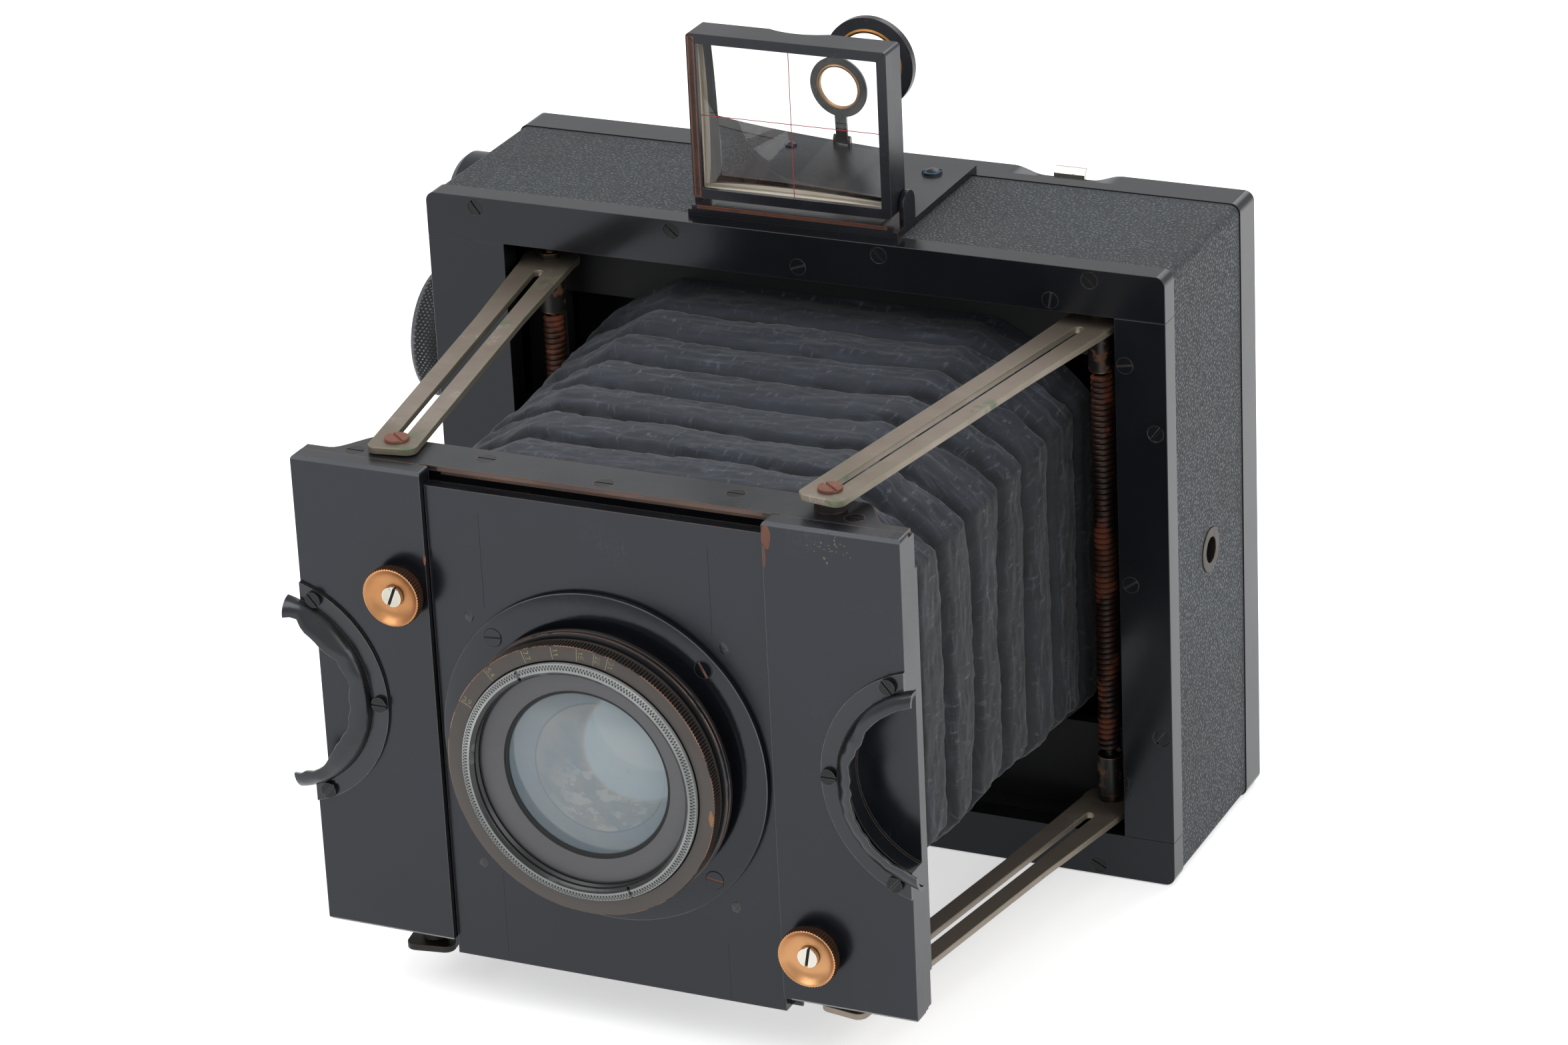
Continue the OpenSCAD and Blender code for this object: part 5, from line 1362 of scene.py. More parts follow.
@dataclass
class Bellows:
    """Pleated cloth bellows with cut corners.

    Round the opening a point sits on a rectangle whose corners are cut: the cut is seven parts of
    a straight line to three parts of a quarter ellipse. From the rear to the front the rectangle
    narrows evenly. Each pleat is a wide, slightly swollen band that leans back like a shingle, with
    a narrow crease after it. The creases of the sides lie half a pleat behind those of the top, and
    the cut corners join the two rows of creases by slanting folds. The girth, which only scales the
    cloth's pattern, is in metres.
    """

    finishes: Finishes
    rear_y: float = 19.7 + FRONT_Y
    front_y: float = -101.0 + FRONT_Y
    rear_w: float = 65.0
    rear_h: float = 55.0
    narrowing: float = 4.0
    cut_w: float = 24.0
    cut_h: float = 17.0
    cut_start: float = 0.35
    cut_end: float = 0.62
    straight: float = 0.7
    pleats: int = 8
    depth: float = 1.9
    cloth: float = 0.8
    travel: float = 113.4
    girth: float = 0.43
    rows: int = 188
    columns: int = 264

    def outline(self, inset: np.ndarray, t: np.ndarray, s: np.ndarray) -> tuple[np.ndarray, np.ndarray]:
        """Points of the cloth.

        Args:
            inset: How far each point is drawn in, in millimetres.
            t: Share of the way from the rear to the front.
            s: Share of the way round, from the middle of the right side.

        Returns:
            The two coordinates across the bellows, in millimetres.
        """
        w = self.rear_w - self.narrowing * t - inset
        h = self.rear_h - self.narrowing * t - inset
        quarter = np.floor(s * 4)
        u = s * 4 - quarter
        turn = np.where(quarter % 2 == 0, u, 1 - u)
        along = np.clip((turn - self.cut_start) / (self.cut_end - self.cut_start), 0, 1)
        angle = along * np.pi / 2
        px = w - self.cut_w * (1 - (1 - along) * self.straight - np.cos(angle) * (1 - self.straight))
        pz = h - self.cut_h * (1 - along * self.straight - np.sin(angle) * (1 - self.straight))
        px = np.where(turn > self.cut_end, (w - self.cut_w) * (1 - turn) / (1 - self.cut_end), px)
        pz = np.where(turn < self.cut_start, (h - self.cut_h) * turn / self.cut_start, pz)
        sx = np.where((quarter == 0) | (quarter == 3), 1, -1)
        sz = np.where(quarter < 2, 1, -1)
        return AXIS_X + sx * px, OPENING_Z + sz * pz

    def build(self) -> None:
        """Makes the cloth and puts it on the camera's body."""
        random = np.random.default_rng(SEED)
        t, s = np.meshgrid(np.linspace(0, 1, self.rows), np.arange(self.columns) / self.columns,
                           indexing="ij")
        turn = np.abs(((s * 4 + 1) % 2) - 1)
        to_top = smooth(np.clip((turn - 0.3) / 0.42, 0, 1))
        corner = np.exp(-((turn - 0.485) / 0.12) ** 2)
        drift = 0.22 * (wavy_field(random, t, s, 5, 9) - 0.5) + 0.1 * (wavy_field(random, t, s, 9, 24) - 0.5)
        phase = t * self.pleats + 0.5 * (1 - to_top) + drift * np.sin(np.pi * t)
        cell = phase - np.floor(phase)
        crease = np.exp(-(np.minimum(cell, 1 - cell) / 0.075) ** 2)
        band = np.sin(np.pi * cell)
        shingle = (0.5 - cell) * 1.3
        rumple = (wavy_field(random, t, s, 12, 30) - 0.5) * 1.5
        rumple += (wavy_field(random, t, s, 30, 90) - 0.5) * 0.75
        fine = (wavy_field(random, t, s, 90, 200) - 0.5) * 0.5
        strength = 0.55 + 0.6 * wavy_field(random, t, s, 6, 12)
        pleat = self.depth * strength * crease - 0.7 * band * strength + shingle * strength
        fade = np.clip(np.minimum(t, 1 - t) / 0.02, 0, 1)
        inset = fade * (pleat * (1 - 0.35 * corner) + rumple * (0.45 + 0.9 * corner) + fine + 0.9)
        inset = np.clip(inset, -0.4, 4.5)
        y = self.rear_y + (self.front_y - self.rear_y) * t
        outer = np.stack([*self.outline(inset, t, s), y], axis=-1)
        inner = np.stack([*self.outline(inset + self.cloth, t, s), y], axis=-1)[::-1]
        points = np.concatenate([outer, inner])[..., [0, 2, 1]] * MM
        faces = grid_faces(2 * self.rows, self.columns, True, True)
        cloth = object_from("bellows_cloth", points.reshape(-1, 3), faces, self.finishes.bellows, 75)
        raised = np.clip(band * 0.55 + (1 - crease) * 0.25 - rumple * 0.35 + 0.3 * corner, 0, 1)
        raised = np.where(np.abs(cell - 0.1) < 0.07, 1.0, raised)
        self.map_cloth(cloth, np.concatenate([raised, raised[::-1]]), y[:, 0])
        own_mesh(settle(cloth, Body.CAMERA, "bellows_cloth", "bellows"))

    def map_cloth(self, cloth: bpy.types.Object, raised: np.ndarray, y: np.ndarray) -> None:
        """Writes the cloth's UV map, in metres round and along it, and a mark of its rubbed places.

        Args:
            cloth: The cloth, whose points are in rows and columns.
            raised: How far each point stands out, from 0 to 1.
            y: Place of each row along the bellows in millimetres.
        """
        mesh = cloth.data
        loops = np.empty(len(mesh.loops), np.int32)
        mesh.loops.foreach_get("vertex_index", loops)
        corner = loops.reshape(-1, 4)
        column, row = corner % self.columns, corner // self.columns
        wraps = (column.max(axis=1) - column.min(axis=1)) > self.columns // 2
        column = column + np.where(wraps[:, None] & (column < self.columns // 2), self.columns, 0)
        place = np.concatenate([y, y[::-1]])[row]
        uv = np.stack([column / self.columns * self.girth, place * MM], axis=-1)
        layer = mesh.uv_layers.new(name="cloth")
        layer.data.foreach_set("uv", uv.reshape(-1).astype(np.float32))
        crest = mesh.attributes.new("crest", "FLOAT", "POINT")
        crest.data.foreach_set("value", raised.reshape(-1).astype(np.float32))


@dataclass
class StrutWork:
    """Slotted struts, their rods and the springs round the rods."""

    finishes: Finishes
    rod_x: float = 71.3
    rod_y: float = 10.0 + FRONT_Y
    wire: float = 0.72
    coil: float = 2.05
    curls: int = 68
    curl_steps: int = 22
    wire_sides: int = 10

    def spring(self, name: str, side: int, low: float, high: float) -> bpy.types.Object:
        """Torsion spring: a round wire along a helix, whose ends rise straight to the collars.

        Args:
            name: Name of the piece.
            side: 1 on the right and -1 on the left.
            low: Height of its lower end in millimetres.
            high: Height of its upper end in millimetres.

        Returns:
            The spring.
        """
        steps, sides = self.curls * self.curl_steps, self.wire_sides
        turn = np.linspace(0, 2 * np.pi * self.curls, steps)
        lift = np.linspace(low + 2 * self.wire, high - 2 * self.wire, steps)
        middle = np.stack([np.cos(turn), np.sin(turn), np.zeros(steps)], axis=-1)
        path = middle * self.coil + np.stack([np.zeros(steps), np.zeros(steps), lift], axis=-1)
        pitch = (high - low - 4 * self.wire) / (2 * np.pi * self.curls)
        ahead = np.stack([-np.sin(turn) * self.coil, np.cos(turn) * self.coil, np.full(steps, pitch)],
                         axis=-1)
        ahead /= np.linalg.norm(ahead, axis=1, keepdims=True)
        across = np.cross(ahead, middle)
        round_wire = np.linspace(0, 2 * np.pi, sides, endpoint=False)
        c, s = np.cos(round_wire)[None, :, None], np.sin(round_wire)[None, :, None]
        points = path[:, None] + self.wire * (c * middle[:, None] + s * across[:, None])
        points += np.array([AXIS_X + side * self.rod_x, self.rod_y, 0.0])
        faces = grid_faces(steps, sides, False, True).tolist()
        faces += [list(range(sides)), list(range((steps - 1) * sides, steps * sides))]
        return object_from(name, points.reshape(-1, 3) * MM, faces, self.finishes.spring_steel, 60)

    def build(self) -> None:
        """Makes every piece of the struts."""
        f = self.finishes
        for side, word in ((1, "right"), (-1, "left")):
            body = Body.STRUTS_RIGHT if side > 0 else Body.STRUTS_LEFT
            for end in ("top", "bottom"):
                # The lower strut on the left takes the darker copy of the nickel silver as painted shade.
                strut_in_shade = side < 0 and end == "bottom"
                merged_copy(f"strut_{word}_{end}", f.nickel_painted_shade if strut_in_shade else f.nickel_silver, 0.3, 3)
            merged_copy(f"rod_{word}", f.black_steel, 0.2)
            merged_copy(f"strut_screws_{word}", f.rust, 0.15)
            low, high = (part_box(f"torsion_spring_{word}")[i].z / MM for i in (0, 1))
            settle(self.spring(f"coil_{word}", side, low, high), body, "rusty_steel",
                   f"torsion_spring_{word}")


@dataclass
class FrontStandard:
    """Standard with its side panels, grips, edge plates and clamp knobs."""

    finishes: Finishes
    face_y: float = -143.1
    knob_r: float = 7.1
    knob_h: float = 5.0
    upper_knob: tuple[float, float] = (-44.4, 107.1)
    lower_knob: tuple[float, float] = (53.8, 33.8)
    grip_x: tuple[float, float] = (-78.2, 86.0)
    grip_z: float = 78.0
    grip_reach: float = 40.0
    groove_y: float = -135.26
    groove_z: float = 133.9
    strip_y: float = -138.13
    strip_z: float = 135.55

    def build(self) -> None:
        """Makes every piece of the standard."""
        f = self.finishes
        merged_copy("side_panels", f.lacquer, 0.45, 3)
        merged_copy("standard_board", f.lacquer, 0.3)
        merged_copy("edge_plates", f.black_metal, 0.25)
        merged_copy("spacer_bushes", f.black_steel, 0.2)
        self.grips()
        merged_copy("standard_screws", f.screws, 0.12)
        self.clamp_knob("clamp_upper", Body.CLAMP_UPPER, "clamp_knob_upper", self.upper_knob, 68)
        self.clamp_knob("clamp_lower", Body.CLAMP_LOWER, "clamp_knob_lower", self.lower_knob, 80)
        self.marks()

    def grips(self) -> None:
        """Finger grips, whose rubbed lips wave a little: a smooth random field moves the points of the
        lip towards and away from the middle of the grip and up and down."""
        item = merged_copy("finger_grips", self.finishes.grip_metal, 0.15)
        mesh = item.data
        points = np.empty(len(mesh.vertices) * 3)
        mesh.vertices.foreach_get("co", points)
        points = points.reshape(-1, 3)
        random = np.random.default_rng(SEED)
        for x in self.grip_x:
            dx, dz = points[:, 0] / MM - x, points[:, 2] / MM - self.grip_z
            mine = np.abs(dx) < self.grip_reach
            turn = (np.arctan2(dz, dx) / (2 * np.pi)) % 1
            rise = np.clip((self.face_y - points[:, 1] / MM - 1.6) / 3.2, 0, 1)
            wave = wavy_field(random, rise * 0, turn, 1, 26) - 0.5
            ripple = wavy_field(random, rise * 0, turn, 1, 70) - 0.5
            reach = np.hypot(dx, dz)
            push = np.where(mine, rise * (2.0 * wave + 0.9 * ripple), 0) * MM
            points[:, 0] += push * dx / reach
            points[:, 2] += push * dz / reach
            points[:, 1] += np.where(mine, rise * (0.6 + 1.3 * wave), 0) * MM
        mesh.vertices.foreach_set("co", points.reshape(-1))
        mesh.update()

    def clamp_knob(self, name: str, body: Body, node: str, place: tuple[float, float], turn: float) -> None:
        """Copper clamp knob: a dish with a knurled rim and a slotted nickel screw in its middle.

        Args:
            name: Name of the piece.
            body: Its body.
            node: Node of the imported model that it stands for.
            place: Its middle across the front, in millimetres.
            turn: Turn of the screw's slot in degrees.
        """
        f, r, h = self.finishes, self.knob_r, self.knob_h
        centre = (place[0], self.face_y - 0.1, place[1])
        outline = [(0, -4.4), (2, -4.4), (2, 0), (r - 1.6, 0, 1), (r - 1.6, h - 2.8, 1),
                   (r - 0.3, h - 2.75, 1), (r, h - 2.5, 1, 1), (r, h - 0.35, 1, 1),
                   (r - 0.1, h - 0.1, 0, 0.6), (r - 0.3, h), (r - 0.45, h - 0.04), (r - 0.9, h - 0.5),
                   (r - 1.6, h - 1.1), (r - 2.5, h - 1.6), (r - 3.6, h - 1.8), (r - 4.4, h - 1.75),
                   (0, h - 1.7)]
        dish = turned(f"{name}_dish", outline, centre, [f.copper, f.dark_copper], ribs=Ribs(64, 0.34))
        settle(dish, body, "copper", node)
        head = Screw((place[0], centre[1] - h + 1.5, place[1]), (0, -1, 0), 2.45, 1.0, 0.55, turn, 0.25, 0.1)
        settle(screw_heads(f"{name}_screw", [head], f.nickel, f.inner_black, f.dark_copper), body, "nickel")

    def marks(self) -> None:
        """Bare wood in the groove over the lens board, painted paler than its own colour as painted light in
        the groove's shade, a split corner, and rubbed spots.
        """
        f, y = self.finishes, self.face_y
        # Painted light: the groove's bare wood is given a paler colour than its own to show through the
        # groove's shade.
        groove = boxes("bare_wood_in_groove_painted_light", [(-35.5, self.groove_z, 43.4, self.groove_z, 1.7)], self.groove_y,
                       0.05, f.wood_painted_light)
        settle(groove, Body.STANDARD, "lacquered_wood")
        strip = boxes("edge_wood", [(-35.2, self.strip_z, 43.2, self.strip_z, 0.9)], self.strip_y, 0.04,
                      f.raw_wood)
        settle(strip, Body.STANDARD, "lacquered_wood")
        spots = [(46.55, 132.8, 1.05, 2.9, 0.03), (45.9, 128.2, 0.35, 2.6, 0.03),
                 (-37.75, 115.3, 0.3, 1.5, 0.03)]
        settle(blots("split_corner", spots, y, f.chip_wood), Body.STANDARD, "lacquered_wood")
        random = np.random.default_rng(SEED)
        specks = [(62.8 + 2.6 * a, 133.0 + 1.5 * b, 0.16, 0.14, 0.01)
                  for a, b in random.standard_normal((26, 2))]
        specks += [(60.2 + 0.4 * a, 129.2 + 0.8 * b, 0.25, 0.3, 0.01)
                   for a, b in random.standard_normal((4, 2))]
        settle(blots("paint_specks", specks, y, f.dust_specks), Body.STANDARD, "lacquered_wood")


# Strokes of each figure, with their corners as shares of its height
STROKES: dict[str, Sequence[Sequence[tuple[float, float]]]] = {
    "1": [[(0.12, 0.74), (0.36, 1.0), (0.36, 0.0)]],
    "2": [[(0.02, 0.78), (0.14, 0.95), (0.32, 1.0), (0.52, 0.92), (0.58, 0.72), (0.5, 0.52), (0.0, 0.0),
           (0.62, 0.0)]],
    "3": [[(0.02, 0.86), (0.18, 1.0), (0.44, 0.98), (0.57, 0.78), (0.44, 0.57), (0.24, 0.54)],
          [(0.24, 0.54), (0.5, 0.48), (0.62, 0.27), (0.5, 0.05), (0.24, 0.0), (0.0, 0.12)]],
    "4": [[(0.45, 0.0), (0.45, 1.0), (0.0, 0.3), (0.64, 0.3)]],
    "5": [[(0.56, 1.0), (0.1, 1.0), (0.05, 0.56), (0.34, 0.62), (0.57, 0.47), (0.6, 0.22), (0.42, 0.02),
           (0.14, 0.0), (0.0, 0.1)]],
    "6": [[(0.52, 0.96), (0.28, 0.9), (0.06, 0.5), (0.04, 0.24), (0.2, 0.02), (0.44, 0.02), (0.6, 0.22),
           (0.52, 0.48), (0.3, 0.56), (0.06, 0.38)]],
    "7": [[(0.0, 1.0), (0.6, 1.0), (0.22, 0.0)]],
    "8": [[(0.3, 0.54), (0.06, 0.74), (0.16, 0.96), (0.46, 0.96), (0.56, 0.74), (0.3, 0.54), (0.02, 0.28),
           (0.14, 0.02), (0.48, 0.02), (0.6, 0.28), (0.3, 0.54)]],
    "9": [[(0.56, 0.62), (0.34, 0.44), (0.1, 0.52), (0.02, 0.76), (0.16, 0.98), (0.42, 1.0), (0.57, 0.8),
           (0.54, 0.4), (0.32, 0.04), (0.12, 0.02)]],
    ".": [[(0.02, 0.0), (0.05, 0.02)]],
}


def stroke_bars(text: str, start: np.ndarray, ahead: np.ndarray, up: np.ndarray, height: float,
                width: float) -> list[tuple[float, ...]]:
    """Turns a number into bars: each stroke's corners are joined by straight bars.

    Args:
        text: The number.
        start: Lower left corner of its first figure in a plane.
        ahead: Direction of writing.
        up: Direction of the figures' tops.
        height: Height of the figures.
        width: Width of the strokes.

    Returns:
        Ends and width of each bar.
    """
    bars, place = [], 0.0
    for figure in text:
        for stroke in STROKES[figure]:
            corners = [start + (ahead * (place + x) + up * y) * height for x, y in stroke]
            bars.extend((*a, *b, width) for a, b in zip(corners, corners[1:]))
        place += 0.3 if figure == "." else 0.86
    return bars


@dataclass
class Lens:
    """Lens board with the lens: flange, barrel, rings, glasses and iris. Turned pieces stand on the
    lens board's face, and their heights are measured ahead of it. The holes are given as x and z, and
    the scale as numbers with their angles in degrees."""

    finishes: Finishes
    centre: tuple[float, float, float] = (AXIS_X, -141.5, LENS_Z)
    flange_r: float = 40.0
    flange_t: float = 1.5
    screw_r: float = 36.6
    ring_face: float = 13.5
    front_ball: float = 62.0
    front_r: float = 20.1
    rear_ball: float = 90.0
    rear_r: float = 19.4
    rear_seat: float = -33.2
    holes: tuple[tuple[float, float], ...] = ((-28.4, 102.1), (34.3, 103.8), (-29.2, 40.5), (34.1, 40.0))
    scale: tuple[tuple[str, float], ...] = (("3.9", 151.1), ("5.4", 132.4), ("7.7", 112.3), ("11", 98.7),
                                            ("15", 87.3), ("22", 79.6), ("31", 73.7))

    def build(self) -> None:
        """Makes every piece of the lens."""
        f = self.finishes
        merged_copy("lens_board", f.lacquer, 0.4, 3)
        self.board_marks()
        self.flange()
        self.barrel()
        self.front()
        self.aperture()
        self.glasses()
        for k in range(1, 11):
            dress(f"iris_blade_{k}", f.blades)

    def board_marks(self) -> None:
        """Filled holes, hairline seams and a worn corner of the lens board."""
        f, y = self.finishes, self.centre[1]
        spots = [(x, z, 1.15, 1.35, 0.16) for x, z in self.holes]
        holes = blots("filled_holes", spots, y, f.filler)
        settle(holes, Body.LENS_PANEL, "lacquered_wood")
        seams = [(-24.4, 105.0, -24.4, 127.6, 0.14), (31.6, 106.4, 31.6, 127.6, 0.12),
                 (-24.6, 16.5, -24.5, 38.5, 0.1), (31.6, 16.5, 31.5, 30.0, 0.1)]
        settle(boxes("board_seams", seams, y - 0.012, 0.03, f.inner_black), Body.LENS_PANEL, "lacquered_wood")

    def flange(self) -> None:
        """Flange whose rim is a paler grey, partly wear and partly a painted highlight along its rounded
        edge, and four slotted screws, two of them rusty.
        """
        f, r = self.finishes, self.flange_r
        outline = [(30.95, 0), (r - 0.3, 0), (r, 0.3), (r, 1.28, 1), (r - 0.06, 1.42, 1), (r - 0.2, 1.5),
                   (31.2, 1.5), (30.95, 1.3)]
        item = turned("flange", outline, self.centre, [f.flange, f.rim], 240)
        settle(item, Body.LENS_PANEL, "lens_black_brass", "lens_flange")
        x, y, z = self.centre
        for name, turns, floor in (("flange_screws", {135: 4, 225: 40}, f.inner_black),
                                   ("flange_screws_rusty", {45: -62, 315: -8}, f.rust)):
            heads = []
            for degrees, turn in turns.items():
                a = math.radians(degrees)
                place = (x + self.screw_r * math.cos(a), y - self.flange_t, z + self.screw_r * math.sin(a))
                heads.append(Screw(place, (0, -1, 0), 2.1, 0.2, 0.5, turn))
            settle(screw_heads(name, heads, f.flange, floor, f.inner_black), Body.LENS_PANEL,
                   "lacquered_wood")

    def barrel(self) -> None:
        """Barrel: tail behind the board, neck, stepped rings with copper edges, and threads in the mouth."""
        f = self.finishes
        outline = [(18.5, 0), (18.5, -33.1), (19.5, -33.1), (19.5, -37.5), (23, -37.5), (24, -36.5), (24, 0),
                   (30.9, 0), (30.9, 4.9), (32.9, 4.9), (33.2, 5.1), (33.2, 6.05, 1), (33.15, 6.15),
                   (32.8, 6.3), (32.8, 6.5), (33.12, 6.65), (33.15, 7.3, 1), (33.08, 7.4), (32.6, 7.6),
                   (32.6, 7.8), (32.85, 8.0), (32.85, 8.5), (28.9, 8.7), (28.9, 13.6), (26, 13.6), (26, 13.4)]
        outline += [(26 - 0.16 * (k % 2), 13.3 - 0.22 * k) for k in range(7)]
        outline += [(26, 9.4), (20.2, 9.4), (20.2, 6.4), (19.25, 6.4), (19.25, 5.4), (29.5, 5.4),
                    (29.5, 1.2), (19.65, 1.2), (19.65, 0)]
        item = turned("barrel", outline, self.centre, [f.lens_black, f.copper_edge], 200)
        settle(item, Body.LENS_PANEL, "lens_black_brass", "lens_barrel")

    def front(self) -> None:
        """Conical front ring with a black inner step, and the ribbed ring that holds it, with two slots."""
        f = self.finishes
        ring = [(19.65, 9.5), (25.9, 9.45), (25.95, 11.55), (25.6, 11.72), (25.2, 11.78), (20.5, 10.25, 1),
                (20.25, 10.1, 1), (20.2, 9.95, 1), (19.8, 9.85, 1), (19.65, 9.7, 1)]
        settle(turned("front_cone", ring, self.centre, [f.front_grey, f.inner_black], 200), Body.LENS_PANEL,
               "grey_ring", "front_ring")
        keep = [(26.1, 13.6), (28.8, 13.6), (28.82, 14.4), (28.75, 14.75, 0, 0.6, 0.6),
                (28.4, 15.0, 0, 0, 1), (27.5, 15.0, 0, 0, 1), (27.3, 14.92), (26.9, 14.8, 1),
                (26.3, 14.5, 1), (26.0, 14.1, 1), (26.0, 13.7, 1)]
        slots = (Notch(118.3, 0.33, 14.0), Notch(-65.7, 0.33, 14.0))
        item = turned("retainer", keep, self.centre, [f.knurl_grey, f.chipped_grey],
                      ribs=Ribs(230, 0.42, 0.012), notches=slots, smooth_angle=28)
        settle(item, Body.LENS_PANEL, "knurled_grey", "retaining_ring")

    def aperture(self) -> None:
        """Aperture ring with fine straight ribs, a copper front edge and a scale of plain numbers."""
        f = self.finishes
        outline = [(29.0, 8.9), (32.2, 8.9), (32.45, 9.1), (32.5, 10.0, 1), (32.65, 10.15, 1, 0.6),
                   (32.9, 10.35, 1, 1), (32.9, 13.05, 1, 1), (32.88, 13.28, 2, 0.6), (32.74, 13.44, 2),
                   (32.6, 13.5), (29.2, 13.5), (29.0, 13.3)]
        item = turned("aperture_dial", outline, self.centre, [f.bronze, f.rib_black, f.copper_edge],
                      ribs=Ribs(264, 0.46))
        settle(item, Body.APERTURE, "bronze_ring", "aperture_ring")
        bars: list[tuple[float, ...]] = []
        middle = np.array([self.centre[0], self.centre[2]])
        for text, degrees in self.scale:
            a = math.radians(degrees)
            out, over = np.array([math.cos(a), math.sin(a)]), np.array([math.sin(a), -math.cos(a)])
            start = middle + out * (32.1 if "." in text else 31.9) + over * 0.1
            bars += stroke_bars(text, start, -out, over, 1.15, 0.1)
            bars.append((*(middle + out * 32.35 - over * 0.35), *(middle + out * 29.5 - over * 0.35), 0.1))
        scale = boxes("aperture_figures", bars, self.centre[1] - self.ring_face - 0.014, 0.03, f.figures)
        settle(scale, Body.APERTURE, "bronze_ring")
        a = math.radians(-6.8)
        spot = [(self.centre[0] + 32.0 * math.cos(a), self.centre[2] + 32.0 * math.sin(a), 0.55, 2.0, 0.012)]
        settle(blots("worn_patch", spot, self.centre[1] - self.ring_face, f.worn_bronze), Body.APERTURE,
               "bronze_ring")

    def glasses(self) -> None:
        """Domed front glass with its haze, and the clear rear glass: each face is a ball's cap."""
        f = self.finishes
        ball, edge = self.front_ball, self.front_r
        front = [(r, 9.2 + math.sqrt(ball ** 2 - r ** 2) - math.sqrt(ball ** 2 - edge ** 2))
                 for r in np.linspace(edge, 0, 25)]
        item = turned("front_glass", [(0, 6.5), (edge, 6.5)] + front, self.centre, [f.front_glass], 160)
        settle(item, Body.LENS_PANEL, "lens_glass", "lens_glasses")
        ball, edge, seat = self.rear_ball, self.rear_r, self.rear_seat
        rear = [(r, seat - 2 - math.sqrt(ball ** 2 - r ** 2) + math.sqrt(ball ** 2 - edge ** 2))
                for r in np.linspace(0, edge, 15)]
        settle(turned("rear_glass", [(edge, seat), (0, seat)] + rear, self.centre, [f.lens_glass], 96),
               Body.LENS_PANEL, "lens_glass", "lens_glasses")


@dataclass
class Finder:
    """Folding optical finder: base, frame with its hollow glass and red cross lines, and eyepiece."""

    finishes: Finishes
    front_y: float = -23.0
    half_w: float = 25.5
    low: float = 160.0
    high: float = 201.0
    rim: float = 2.5
    glass_front: float = 1.3
    glass_back: float = 6.0
    sag: float = 1.95
    columns: int = 30
    rows: int = 24
    eyepiece: tuple[float, float, float] = (0.0, 26.0, 180.4)
    screw_at: tuple[float, float, float] = (19.0, 16.4, 157.2)
    lip_y: float = -23.42
    lip_z: float = 158.0

    def build(self) -> None:
        """Makes every piece of the finder."""
        f = self.finishes
        merged_copy("finder_base", f.finder_metal, 0.2)
        merged_copy("finder_frame", f.finder_metal, 0.35, 3)
        merged_copy("eyepiece", f.finder_metal, 0.25)
        self.wear()
        self.glass()
        bezel = [(7.75, -0.2), (8.3, -0.35), (8.75, -0.1), (8.75, 2.1), (8.3, 2.35), (7.75, 2.2)]
        settle(turned("eyepiece_bezel", bezel, self.eyepiece, [f.brass_ring], 96), Body.EYEPIECE, "copper")
        x, y, z = self.screw_at
        heads = [Screw((s * x, y, z), (0, 0, 1), 2.5, 0.6, 0.5, 30 * s, 0.85, 0.1) for s in (-1, 1)]
        settle(screw_heads("base_screws", heads, f.blued, f.rust, f.rust), Body.CAMERA, "blued_screws")

    def wear(self) -> None:
        """Left stile and base lip with their paint worn to brown, and the mitred seams of the frame."""
        f, y = self.finishes, self.front_y
        stile = boxes("worn_stile", [(-24.25, self.low + 1.2, -24.25, self.high - 1.6, 1.7)], y - 0.02, 0.1,
                      f.worn_finder)
        settle(stile, Body.FINDER, "black_metal")
        x, z = self.half_w, self.high
        inner_x, inner_z, low = x - self.rim, z - self.rim, self.low + self.rim
        seams = [(-x + 0.4, z - 0.4, -inner_x, inner_z, 0.13), (x - 0.4, z - 0.4, inner_x, inner_z, 0.13),
                 (-x + 0.3, low, -inner_x, low, 0.13)]
        settle(boxes("frame_seams", seams, y - 0.03, 0.04, f.inner_black), Body.FINDER, "black_metal")
        lip = boxes("worn_lip", [(-24.0, self.lip_z, 24.0, self.lip_z, 0.95)], self.lip_y, 0.06,
                    f.worn_finder)
        settle(lip, Body.CAMERA, "black_metal")

    def glass(self) -> None:
        """Hollow glass: each face sinks by the sag times one less the squared distance from the middle
        over that of a corner, so that the view through it shrinks. Cream strips are its ground edges."""
        f, y = self.finishes, self.front_y
        w, h = self.half_w - self.rim + 0.3, (self.high - self.low) / 2 - self.rim + 0.3
        middle = (self.high + self.low) / 2
        columns, rows = self.columns, self.rows
        u, v = np.meshgrid(np.linspace(-w, w, columns), np.linspace(-h, h, rows), indexing="xy")
        depth = self.sag * (1 - (u ** 2 + v ** 2) / (w ** 2 + h ** 2))
        front = np.stack([u, y + self.glass_front + depth, v + middle], axis=-1).reshape(-1, 3)
        back = np.stack([u, y + self.glass_back - depth, v + middle], axis=-1).reshape(-1, 3)
        sheet = grid_faces(rows, columns, False, False)
        edge = [*range(columns), *[r * columns + columns - 1 for r in range(1, rows)],
                *[(rows - 1) * columns + c for c in range(columns - 2, -1, -1)],
                *[r * columns for r in range(rows - 2, 0, -1)]]
        n = rows * columns
        sides = [[a, b, b + n, a + n] for a, b in zip(edge, edge[1:] + edge[:1])]
        faces = sheet.tolist() + (sheet + n).tolist() + sides
        item = object_from("hollow_glass", np.concatenate([front, back]) * MM, faces, f.finder_glass, 40)
        settle(item, Body.FINDER, "finder_glass", "finder_lens")
        bars = [(0.2, middle - h + 0.5, 0.2, middle + h - 0.5, 0.2), (-w + 0.5, middle, w - 0.5, middle, 0.2)]
        settle(boxes("cross_lines", bars, y + 1.22, 0.04, f.red_line), Body.FINDER, "finder_glass")
        cream = [(-w + 0.2, middle - h, -w + 0.2, middle + h, 0.3),
                 (-w, middle - h + 0.2, w, middle - h + 0.2, 0.3)]
        settle(boxes("glass_edges", cream, y + 1.35, 4.6, f.cream), Body.FINDER, "finder_glass")


# Studio

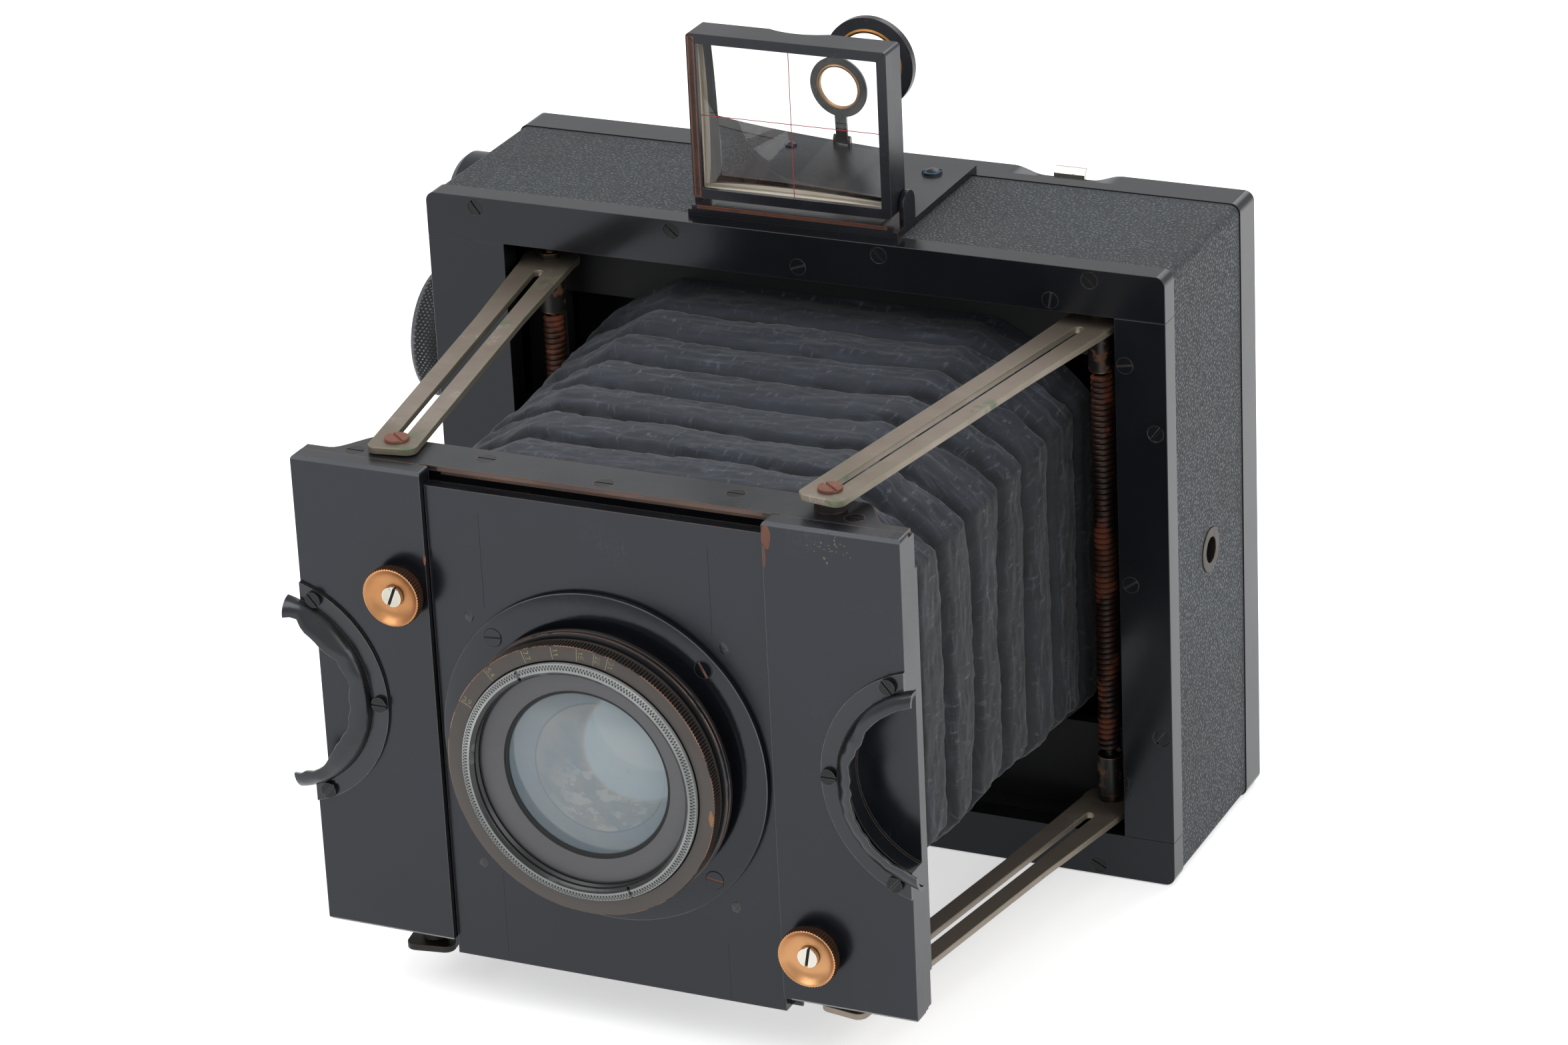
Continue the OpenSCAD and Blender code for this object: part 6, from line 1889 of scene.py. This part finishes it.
@dataclass
class Studio:
    """Pale floor, soft lights and the camera at the photograph's angle."""

    camera_place: tuple[float, float, float] = (0.51017, -1.11008, 0.60473)
    azimuth: float = 25.3975
    elevation: float = 23.6107
    roll: float = -2.7479
    focal_length: float = 125.10

    def build(self) -> None:
        """Makes the camera, the floor, the world and the lamps."""
        self.camera()
        self.floor()
        self.world()
        self.lamps()
        bpy.context.scene.view_settings.view_transform = "Standard"

    def camera(self) -> None:
        """Camera that looks along the given angles, on a 36 mm wide sensor."""
        data = bpy.data.cameras.new("camera")
        data.sensor_width = 36
        data.lens = self.focal_length
        data.clip_start = 0.05
        item = bpy.data.objects.new("camera", data)
        bpy.context.scene.collection.objects.link(item)
        place = Matrix.Translation(self.camera_place)
        for degrees, axis in ((self.azimuth, "Z"), (90 - self.elevation, "X"), (self.roll, "Z")):
            place = place @ Matrix.Rotation(math.radians(degrees), 4, axis)
        item.matrix_world = place
        bpy.context.scene.camera = item

    def floor(self) -> None:
        """Large pale floor just under the camera's base."""
        size, height = 6.0, -0.0003
        corners = np.array([(-size, -size, height), (size, -size, height), (size, size, height),
                            (-size, size, height)])
        material, kit, shader = new_material("pale_floor")
        shader.inputs["Base Color"].default_value = (0.96, 0.96, 0.96, 1)
        shader.inputs["Roughness"].default_value = 0.9
        shader.inputs["Specular IOR Level"].default_value = 0.0
        path = kit.add("ShaderNodeLightPath")
        seen = kit.math("MAXIMUM", path.outputs["Is Camera Ray"], path.outputs["Is Transmission Ray"])
        glow = kit.math("MAXIMUM", kit.math("MULTIPLY", seen, 0.5),
                        kit.math("MULTIPLY", path.outputs["Is Glossy Ray"], 0.57))
        kit.feed(shader.inputs["Emission Strength"], glow)
        shader.inputs["Emission Color"].default_value = (1, 1, 1, 1)
        object_from("pale_floor", corners, [(0, 1, 2, 3)], material)

    def world(self) -> None:
        """White surroundings that the camera and the reflections see, and softer light from them."""
        world = bpy.data.worlds.new("studio")
        world.use_nodes = True
        bpy.context.scene.world = world
        kit = Nodes(world.node_tree)
        background = world.node_tree.nodes["Background"]
        path = kit.add("ShaderNodeLightPath")
        seen = kit.math("MAXIMUM", path.outputs["Is Camera Ray"], path.outputs["Is Transmission Ray"])
        strength = kit.blend(seen, kit.blend(path.outputs["Is Glossy Ray"], 0.6, 0.85), 1.0)
        kit.feed(background.inputs["Strength"], strength)
        background.inputs["Color"].default_value = (1, 1, 1, 1)

    def lamps(self) -> None:
        """Large soft lamps above, to the left and to the right."""
        self.lamp("key_lamp", (-0.5, -0.9, 1.3), 1.0, 11)
        self.lamp("fill_lamp", (1.3, -0.5, 0.8), 0.9, 7)
        self.lamp("back_lamp", (0.2, 1.1, 1.2), 1.0, 7)

    def lamp(self, name: str, place: Sequence[float], size: float, power: float) -> None:
        """One square lamp that faces the camera body.

        Args:
            name: Name of the lamp.
            place: Where it stands, in metres.
            size: Length of its side in metres.
            power: Power in watts.
        """
        data = bpy.data.lights.new(name, "AREA")
        data.size = size
        data.energy = power
        item = bpy.data.objects.new(name, data)
        bpy.context.scene.collection.objects.link(item)
        aim = Vector((0, 0, 0.09)) - Vector(place)
        item.matrix_world = Matrix.Translation(place) @ aim.to_track_quat("-Z", "Y").to_matrix().to_4x4()


def main() -> None:
    """Builds the camera and the studio."""
    logging.basicConfig(level=logging.INFO, format="%(name)s: %(message)s")
    finishes = Finishes()
    Studio().build()
    for part in (BodyBox, Shutter, Bellows, StrutWork, FrontStandard, Lens, Finder):
        part(finishes).build()
        LOG.info("built %s", part.__name__)


if __name__ == "__main__":
    main()
